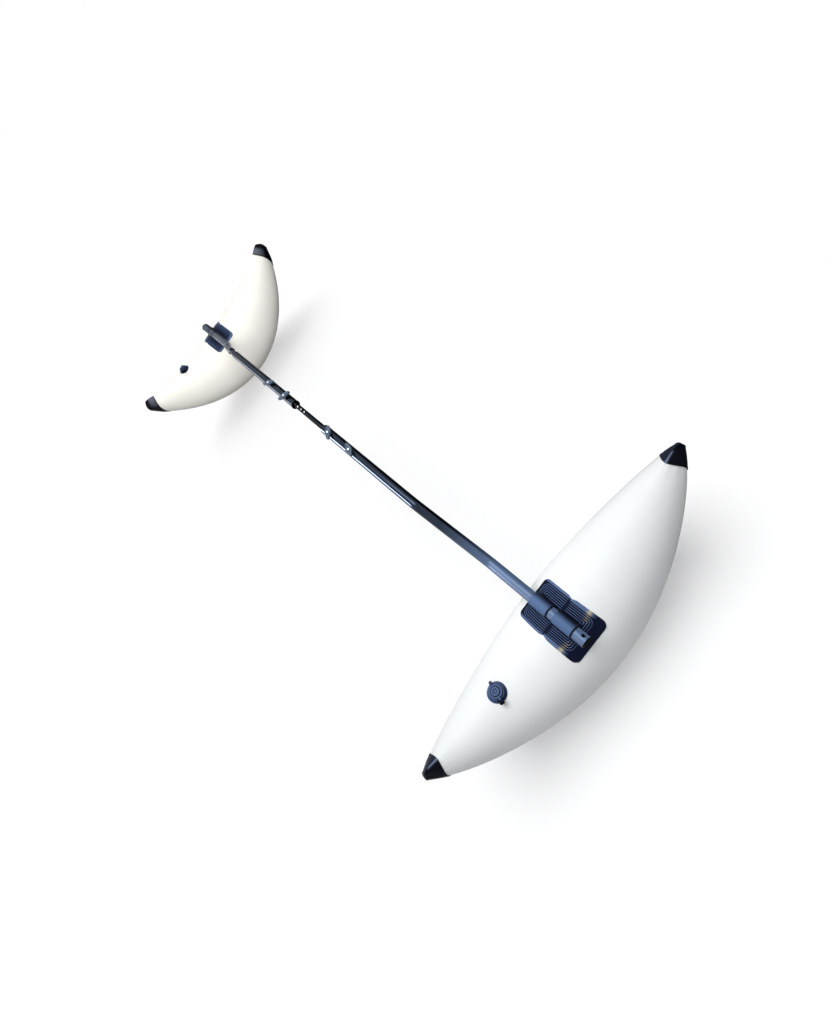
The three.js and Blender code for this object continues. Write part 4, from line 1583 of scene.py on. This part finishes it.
@dataclass(frozen=True)
class Arm:
    """One cranked arm, in millimetres, with its plug, bush, clamps and pin hole."""

    side: Side
    mouth: float
    end: float
    knob_inset: float
    knob_turns: dict[str, float]
    pinched: bool = False
    radius: float = 16.0
    bore: float = 14.2
    upper_z: float = 421.5
    lower_z: float = 321.5
    upper_bend: float = 655.0
    lower_bend: float = 906.0
    bend_radius: float = 60.0
    knob_spacing: float = 130.0
    sides: int = 56
    station_gap: float = 6.0
    bend_steps: int = 12
    ease: float = 0.5
    pinch_share: float = 0.6
    pinch_inset: float = 20.0
    pinch_reach: float = 16.0
    pin_inset: float = 12.0
    pin_hole: float = 4.0
    pin_tilt_deg: float = 30.0
    # Where the painted sky reflection band starts and where it is full, from the lower bend.
    rub_from: float = -190.0
    rub_to: float = 60.0

    @property
    def label(self) -> str:
        """The word that this arm's nodes and bodies start with."""
        return self.side.label

    @property
    def body(self) -> str:
        """The CAD body of the arm."""
        return f"{self.label}_pole"

    def path(self) -> list[tuple[Vector, Vector]]:
        """Stations along the arm's axis, from its mouth to its end.

        Returns:
            Centre and direction of each station, in millimetres, with X counted outwards.
        """
        corners = [Vector(c) for c in ((self.mouth, self.upper_z), (self.upper_bend, self.upper_z),
                                       (self.lower_bend, self.lower_z), (self.end, self.lower_z))]
        stations = [(corners[0], (corners[1] - corners[0]).normalized())]
        for before, corner, after in zip(corners, corners[1:], corners[2:]):
            into, away = (corner - before).normalized(), (after - corner).normalized()
            turn = into.angle_signed(away)
            reach = self.bend_radius * math.tan(abs(turn) / 2)
            start = corner - into * reach
            straight = (start - stations[-1][0]).length
            steps = max(2, round(straight / self.station_gap))
            last = stations[-1][0]
            stations += [(last.lerp(start, s / steps), into) for s in range(1, steps)]
            sign = -1 if turn > 0 else 1
            inward = Vector((-into.y, into.x)) * sign
            centre = start + inward * self.bend_radius
            for step in range(self.bend_steps + 1):
                part = Matrix.Rotation(abs(turn) * sign * step / self.bend_steps, 2)
                stations.append((centre + part @ (start - centre), part @ into))
        last, away = stations[-1][0], (corners[3] - corners[2]).normalized()
        steps = round((corners[3] - last).length / self.station_gap)
        stations += [(last.lerp(corners[3], s / steps), away) for s in range(1, steps + 1)]
        return stations

    def make_tube(self) -> bpy.types.Object:
        """Builds the tube, with its wall, eased ends, pin hole and, on the far arm, the pinch.

        Returns:
            The tube.
        """
        path, ease = self.path(), self.ease
        rings = []
        for number, (spot, along) in enumerate(path):
            edge = number in (0, len(path) - 1)
            rings.append((spot, along, self.radius - (ease if edge else 0)))
            if number == 0:
                rings.append((spot + along * ease, along, self.radius))
            if number == len(path) - 2:
                rings.append((path[-1][0] - path[-1][1] * ease, along, self.radius))
        rings += [(spot, along, self.bore) for spot, along in reversed(path)]

        def place(around: float, along: float) -> Vector:
            """Works out a point of the tube, first along its outside and then back along its bore.

            Args:
                around: share of the way round.
                along: share of the way along.

            Returns:
                The point.
            """
            spot, run, radius = rings[round(along * len(rings)) % len(rings)]
            turn = 2 * math.pi * around
            up = Vector((-run.y, run.x))
            flat = spot + up * (radius * math.cos(turn))
            y = radius * math.sin(turn)
            if self.pinched:
                y *= 1 - self.pinch_share * bell(flat.x - self.upper_bend + self.pinch_inset, self.pinch_reach)
            return Vector((self.side.value * flat.x, y, flat.y)) * MM

        def mark(around: float, along: float) -> float:
            """The painted sky reflection on the tube: its lower length, which the mounts slide on."""
            spot = rings[round(along * len(rings)) % len(rings)][0]
            return smooth_step(self.lower_bend + self.rub_from, self.lower_bend + self.rub_to, spot.x)

        bm = bmesh.new()
        laid_grid(bm, len(rings), self.sides, place, mark)
        cleaned(bm)
        piece = placed_piece(bm, f"{self.label}_arm_tube", self.body, f"{self.label}_anodised", "anodised_tube",
                             [f"{self.label}_arm"])
        drills = bmesh.new()
        axis = Matrix.Translation((self.side.value * (self.end - self.pin_inset) * MM, 0, self.lower_z * MM))
        lathed(drills, [(0, -20), (self.pin_hole, -20), (self.pin_hole, 20), (0, 20)],
               axis @ Matrix.Rotation(-math.radians(self.pin_tilt_deg), 4, "X"), segments=32)
        drilled(piece, drills)
        return piece

    def lying(self, x: float, z: float, outwards: bool) -> Matrix:
        """Works out a frame on the arm's axis.

        Args:
            x: distance from the origin, counted outwards.
            z: height.
            outwards: whether the frame's Z points away from the origin, not towards it.

        Returns:
            The frame.
        """
        turn = self.side.value * (1 if outwards else -1) * math.pi / 2
        return Matrix.Translation((self.side.value * x * MM, 0, z * MM)) @ Matrix.Rotation(turn, 4, "Y")

    def make_plug(self) -> bpy.types.Object:
        """Builds the moulded plug in the arm's outer end.

        Returns:
            The plug.
        """
        bm = bmesh.new()
        lathed(bm, [(0, -6), (13.6, -6), (13.7, 0.3), (16.0, 0.3), (16.0, 2.3), (12.5, 2.3), (11.6, 1.5),
                    (0, 1.5)], self.lying(self.end, self.lower_z, True), rounding=0.5)
        return placed_piece(bm, f"{self.label}_plug_moulding", self.body, "black_moulding", "black_plastic",
                            [f"{self.label}_end_plug"])

    def make_bush(self) -> bpy.types.Object:
        """Builds the bush in the mouth: flush on the near arm, a round collar on the far one.

        Returns:
            The bush.
        """
        bm = bmesh.new()
        place = self.lying(self.mouth, self.upper_z, False)
        if self.pinched:
            profile = [(9.9, -20), (13.7, -20), (13.7, 0.3), (15.4, 0.3), (16.5, 1.0), (17.0, 2.4), (16.9, 3.3),
                       (16.3, 3.8), (16.9, 4.3), (16.4, 5.8), (15.2, 7.1), (13.2, 8.0), (10.6, 8.4), (9.9, 8.2)]
        else:
            profile = [(9.9, -20), (13.7, -20), (13.7, -0.4), (13.2, 0), (10.4, 0), (9.9, -0.5)]
        lathed(bm, profile, place, segments=56, closed=True, rounding=0.3)
        return placed_piece(bm, f"{self.label}_bush_moulding", self.body, "black_moulding", "black_plastic",
                            [f"{self.label}_mouth_bush"])

    def make_clamp(self, where: Where) -> None:
        """Builds one clamp: its threaded insert in the arm, the wing knob and the bright screw.

        Args:
            where: which of the arm's two clamps.
        """
        out = self.mouth + self.knob_inset + (0.0 if where is Where.INNER else self.knob_spacing)
        name = f"{self.label}_{where.value}"
        axis = Matrix.Translation((self.side.value * out * MM, 0, self.upper_z * MM))
        bm = bmesh.new()
        lathed(bm, [(4.0, 11.2), (5.7, 11.2), (5.7, 16.3), (9.0, 16.3), (9.0, 17.4), (8.6, 17.8), (4.0, 17.8)],
               axis, segments=40, closed=True, rounding=0.25)
        placed_piece(bm, f"{name}_insert_bright", self.body, "bright_steel", "stainless", [f"{name}_insert"])
        turned = axis @ Matrix.Rotation(math.radians(self.knob_turns[where.value]), 4, "Z")
        body = f"{name}_clamp"
        knob = bmesh.new()
        join_into(knob, Knob().mesh(), turned)
        placed_piece(knob, f"{name}_wing_knob", body, "knob_moulding", "knob_plastic", [f"{name}_knob"])
        screw = bmesh.new()
        lathed(screw, [(0, 9.8), (2.7, 9.8), (3.7, 10.8), (3.7, 27.2), (3.3, 27.9), (2.2, 28.3), (0, 28.45)],
               turned, segments=32)
        placed_piece(screw, f"{name}_bright_screw", body, "bright_steel", "stainless", [f"{name}_stud"])

    def build(self) -> None:
        """Builds every piece of the arm."""
        self.make_tube()
        self.make_plug()
        self.make_bush()
        for where in Where:
            self.make_clamp(where)


@dataclass(frozen=True)
class Knob:
    """A wing knob, in millimetres: two tapered wings with a sunk top and a round hub."""

    span: float = 54.0
    waist: float = 23.0
    tip: float = 4.5
    tip_turn_deg: float = 60.0
    bottom: float = 18.1
    top: float = 27.1
    hub: float = 7.4
    hub_bore: float = 3.9
    rim: float = 1.7
    rim_slope: float = 0.6
    sunk: float = 0.9
    edge_round: float = 1.1

    def mesh(self) -> bmesh.types.BMesh:
        """Builds the knob about its own axis, over the arm's axis.

        Returns:
            The knob's bmesh.
        """
        reach = self.span / 2 - self.tip
        outline = []
        for sign in (1, -1):
            outline.append((0.0, -sign * self.waist / 2))
            for step in range(7):
                turn = math.radians(self.tip_turn_deg) * (step / 3 - 1)
                outline.append((sign * (reach + self.tip * math.cos(turn)), sign * self.tip * math.sin(turn)))
        part = prism(outline, self.bottom, self.top, 0.5)
        top = max(part.faces, key=lambda f: f.calc_center_median().z)
        bmesh.ops.inset_region(part, faces=[top], thickness=self.rim * MM, depth=0.0)
        bmesh.ops.inset_region(part, faces=[top], thickness=self.rim_slope * MM, depth=-self.sunk * MM)
        rubbed = part.verts.layers.float[WEAR_AND_PAINTED_SHEEN]
        for vert in part.verts:
            if vert in top.verts or vert.co.z < (self.bottom + 0.5) * MM:
                vert[rubbed] = 0.0
        eased(part, level_edges(part, 70), self.edge_round * MM, segments=3)
        lathed(part, [(self.hub_bore, self.bottom + 1), (self.hub, self.bottom + 1), (self.hub, self.top + 0.1),
                      (self.hub - 0.8, self.top + 0.5), (self.hub_bore, self.top + 0.5)], Matrix.Identity(4),
               segments=40, closed=True)
        return part


@dataclass(frozen=True)
class CentreRod:
    """The telescopic rod, in millimetres, with its row of adjusting holes, bright core and guides."""

    radius: float = 9.5
    wall: float = 1.5
    near_end: float = 350.0
    far_end: float = -290.0
    axis_z: float = 421.5
    hole: float = 3.5
    hole_start: float = 14.0
    hole_pitch: float = 24.0
    hole_count: int = 11

    def hole_places(self) -> list[Matrix]:
        """The places of the holes on the rod's axis, from the near end on."""
        return [Matrix.Translation(((self.hole_start - self.hole_pitch * number) * MM, 0, self.axis_z * MM))
                for number in range(self.hole_count)]

    def build(self) -> None:
        """Builds the rod and the beads in its holes, and dresses the core and the guides."""
        lying = Matrix.Translation((0, 0, self.axis_z * MM)) @ Matrix.Rotation(math.pi / 2, 4, "Y")
        inner = self.radius - self.wall
        bm = bmesh.new()
        lathed(bm, [(inner, self.far_end), (self.radius, self.far_end), (self.radius, self.near_end),
                    (inner, self.near_end)], lying, segments=48, closed=True, rounding=0.4)
        rod = placed_piece(bm, "drilled_rod", "near_pole", "black_rod", "dark_rod", ["centre_rod"])
        drills, beads = bmesh.new(), bmesh.new()
        for place in self.hole_places():
            lathed(drills, [(0, -13), (self.hole, -13), (self.hole, 13), (0, 13)], place, segments=28)
            for side in (1, -1):
                lathed(beads, [(0, 7.7), (3.3, 7.7), (3.4, 8.5), (2.8, 9.0), (1.5, 9.35), (0, 9.45)],
                       place @ Matrix.Scale(side, 4, (0, 0, 1)), segments=20)
        drilled(rod, drills)
        bmesh.ops.recalc_face_normals(beads, faces=beads.faces[:])
        placed_piece(beads, "rod_stop_beads", "near_pole", "bright_steel", "stainless")
        dress("rod_core", "bright_steel")
        for side in Side:
            dress(f"{side.label}_rod_guide", "black_moulding")


# ---- Studio ----


@dataclass(frozen=True)
class Lamp:
    """A lamp that shines from one place at another: a sun if it has an angle, and otherwise an area lamp."""

    name: str
    place: Point
    energy: float
    aim: Point = (0.0, 0.0, 0.0)
    angle_deg: float = 0.0
    size: tuple[float, float] = (0.0, 0.0)
    shape: str = "RECTANGLE"
    colour: Tone = (1.0, 1.0, 1.0)

    def build(self, lit: bpy.types.Collection) -> bpy.types.Object:
        """Makes the lamp.

        Args:
            lit: the objects that it lights.

        Returns:
            The lamp's object.
        """
        if self.angle_deg:
            data = bpy.data.lights.new(self.name, "SUN")
            data.angle = math.radians(self.angle_deg)
        else:
            data = bpy.data.lights.new(self.name, "AREA")
            data.shape, (data.size, data.size_y) = self.shape, self.size
        data.energy, data.color = self.energy, self.colour
        lamp = placed_object(self.name, data)
        turn = (Vector(self.place) - Vector(self.aim)).to_track_quat("Z", "Y").to_matrix().to_4x4()
        lamp.matrix_world = Matrix.Translation(self.place) @ turn
        lamp.light_linking.receiver_collection = lit
        return lamp


def plain_plates(name: str, places: Sequence[Matrix]) -> tuple[bpy.types.Object, Desk, bpy.types.Node]:
    """Makes one object of flat plates that dress the scene, in a material of their own.

    Args:
        name: the name of the object and of its material.
        places: where each plate of 2 by 2 metres goes, with its scale.

    Returns:
        The object, a desk on its material's tree and the Principled node.
    """
    bm = bmesh.new()
    for place in places:
        bmesh.ops.create_grid(bm, x_segments=1, y_segments=1, size=1.0, matrix=place)
    plates = placed_object(name, mesh_from(bm, name))
    material = bpy.data.materials.new(name)
    material.use_nodes = True
    plates.data.materials.append(material)
    return plates, Desk(material.node_tree), material.node_tree.nodes["Principled BSDF"]


@dataclass(frozen=True)
class Studio:
    """The camera at the photograph's angle, a floor that shows white, the lamps and the dark cards."""

    image_width: int = 826
    image_height: int = 1024
    focal_px: float = 504.65
    centre_px: tuple[float, float] = (419.95, 492.40)
    position: Point = (1.5123, 0.1081, 1.5804)
    forward: Point = (-0.5989, -0.0501, -0.7993)
    image_up: Point = (-0.5018, 0.8013, 0.3257)
    sensor: float = 36.0
    clip: tuple[float, float] = (0.01, 100.0)
    sky: float = 0.32
    sky_tone: Tone = (0.96, 0.98, 1.0)
    floor_half: float = 14.0
    floor_z: float = -0.0006
    floor_tone: float = 0.77
    floor_bounce: float = 0.14
    card_tone: Tone = (0.01, 0.01, 0.01)
    strip_energy: tuple[float, float] = (480.0, 110.0)
    shadow_suns: tuple[Lamp, Lamp] = (
        Lamp("near_shadow_light", (-0.3, 0.0, 1.0), 2.05, angle_deg=48.0),
        Lamp("far_shadow_light", (-0.8, 0.0, 1.0), 1.66, angle_deg=68.0))

    def make_camera(self) -> None:
        """Makes the camera from the fitted view."""
        data = bpy.data.cameras.new("view")
        data.sensor_width = self.sensor
        data.lens = self.focal_px * self.sensor / self.image_height
        data.shift_x = (self.image_width / 2 - self.centre_px[0]) / self.image_height
        data.shift_y = (self.centre_px[1] - self.image_height / 2) / self.image_height
        data.clip_start, data.clip_end = self.clip
        camera = placed_object("view", data)
        forward = Vector(self.forward).normalized()
        right = forward.cross(Vector(self.image_up)).normalized()
        turn = Matrix((right, right.cross(forward), -forward)).transposed()
        camera.matrix_world = Matrix.Translation(self.position) @ turn.to_4x4()
        bpy.context.scene.camera = camera

    def make_world(self) -> None:
        """Makes a world that is white to the eye and a soft grey light on the object."""
        world = bpy.data.worlds.new("studio")
        world.use_nodes = True
        bpy.context.scene.world = world
        desk = Desk(world.node_tree)
        seen = desk.seen()
        back = world.node_tree.nodes["Background"]
        desk.feed(back.inputs["Color"], desk.mix(seen, self.sky_tone, (1.0, 1.0, 1.0)))
        desk.feed(back.inputs["Strength"], desk.spread(seen, 0, 1, self.sky, 1.0))

    def make_floor(self) -> bpy.types.Object:
        """Makes the pale floor, which shows white, keeps the object's shadow and throws little light back.

        Returns:
            The floor.
        """
        place = Matrix.Translation((0, 0, self.floor_z)) @ Matrix.Diagonal((self.floor_half, self.floor_half, 1, 1))
        floor, desk, shader = plain_plates("floor", [place])
        shader.inputs["Roughness"].default_value = 1.0
        shader.inputs["Specular IOR Level"].default_value = 0.0
        desk.feed(shader.inputs["Base Color"],
                  desk.mix(desk.seen(), [self.floor_bounce] * 3, [self.floor_tone] * 3))
        return floor

    def make_lamps(self, floor: bpy.types.Object) -> None:
        """Makes the main light, the fill over the pole, the side light and the low strips that the tubes reflect.

        Args:
            floor: the floor, which the main light spares.
        """
        groups = bpy.data.collections
        spared, lit = groups.new(NOT_FLOOR), groups.new(FLOAT_LIT)
        Lamp("main_light", (-0.37, 0.05, 0.93), 1.64, angle_deg=40.0, colour=(1.0, 0.99, 0.97)).build(spared)
        Lamp("fill_light", (0.50, -0.05, 1.40), 19.0, aim=(-1.13, 0.0, 0.12), shape="DISK", size=(0.9, 0.9)).build(lit)
        Lamp("side_light", (0.8, -0.1, 0.55), 0.45, angle_deg=60.0).build(lit)
        for side, energy in zip(Side, self.strip_energy):
            strip = Lamp(f"{side.label}_strip_light", (-3.1, -2.6, 1.18), energy, aim=(-3.1, 0.0, 0.42),
                         size=(5.0, 0.9))
            strip.build(groups.new(f"{side.label}_{STRIP_LIT}")).visible_diffuse = False
        spared.objects.link(floor)
        spared.collection_objects[0].light_linking.link_state = "EXCLUDE"

    def make_shadow_lamps(self, floor: bpy.types.Object) -> None:
        """Makes one sun for each side that lights only the floor, with the shadow of that side's pieces.

        Args:
            floor: the floor.
        """
        ground = bpy.data.collections.new("ground")
        ground.objects.link(floor)
        for side, sun in zip(Side, self.shadow_suns):
            casting = bpy.data.collections.new(f"{side.label}_casting")
            sun.build(ground).light_linking.blocker_collection = casting

    def make_cards(self) -> None:
        """Makes the dark cards on the tubes' other side, which only reflections see."""
        size = Matrix.Diagonal((4.5, 0.8, 1, 1))
        lying = Matrix.Translation((-2.5, 1.1, 0.004)) @ size
        standing = Matrix.Translation((-2.5, 1.9, 0.8)) @ Matrix.Rotation(math.pi / 2, 4, "X") @ size
        cards, _, shader = plain_plates("dark_cards", [lying, standing])
        shader.inputs["Base Color"].default_value = (*self.card_tone, 1.0)
        for ray in ("camera", "diffuse", "shadow", "transmission"):
            setattr(cards, f"visible_{ray}", False)

    def build(self) -> None:
        """Builds the camera, the world, the floor, the lamps and the cards, and sets the plain view transform."""
        self.make_camera()
        self.make_world()
        floor = self.make_floor()
        self.make_lamps(floor)
        self.make_shadow_lamps(floor)
        self.make_cards()
        bpy.context.scene.view_settings.view_transform = "Standard"


def main() -> None:
    """Builds the studio and every piece in order."""
    logging.basicConfig(level=logging.INFO, format="%(message)s")
    Studio().build()
    Arm(Side.NEAR, mouth=150.0, end=1224.0, knob_inset=49.0,
        knob_turns={"inner": -42.0, "outer": -23.0}).build()
    Arm(Side.FAR, mouth=64.0, end=1193.0, knob_inset=57.0,
        knob_turns={"inner": 63.0, "outer": 39.0}, pinched=True).build()
    CentreRod().build()
    for side in Side:
        Float(side).build()


if __name__ == "__main__":
    main()
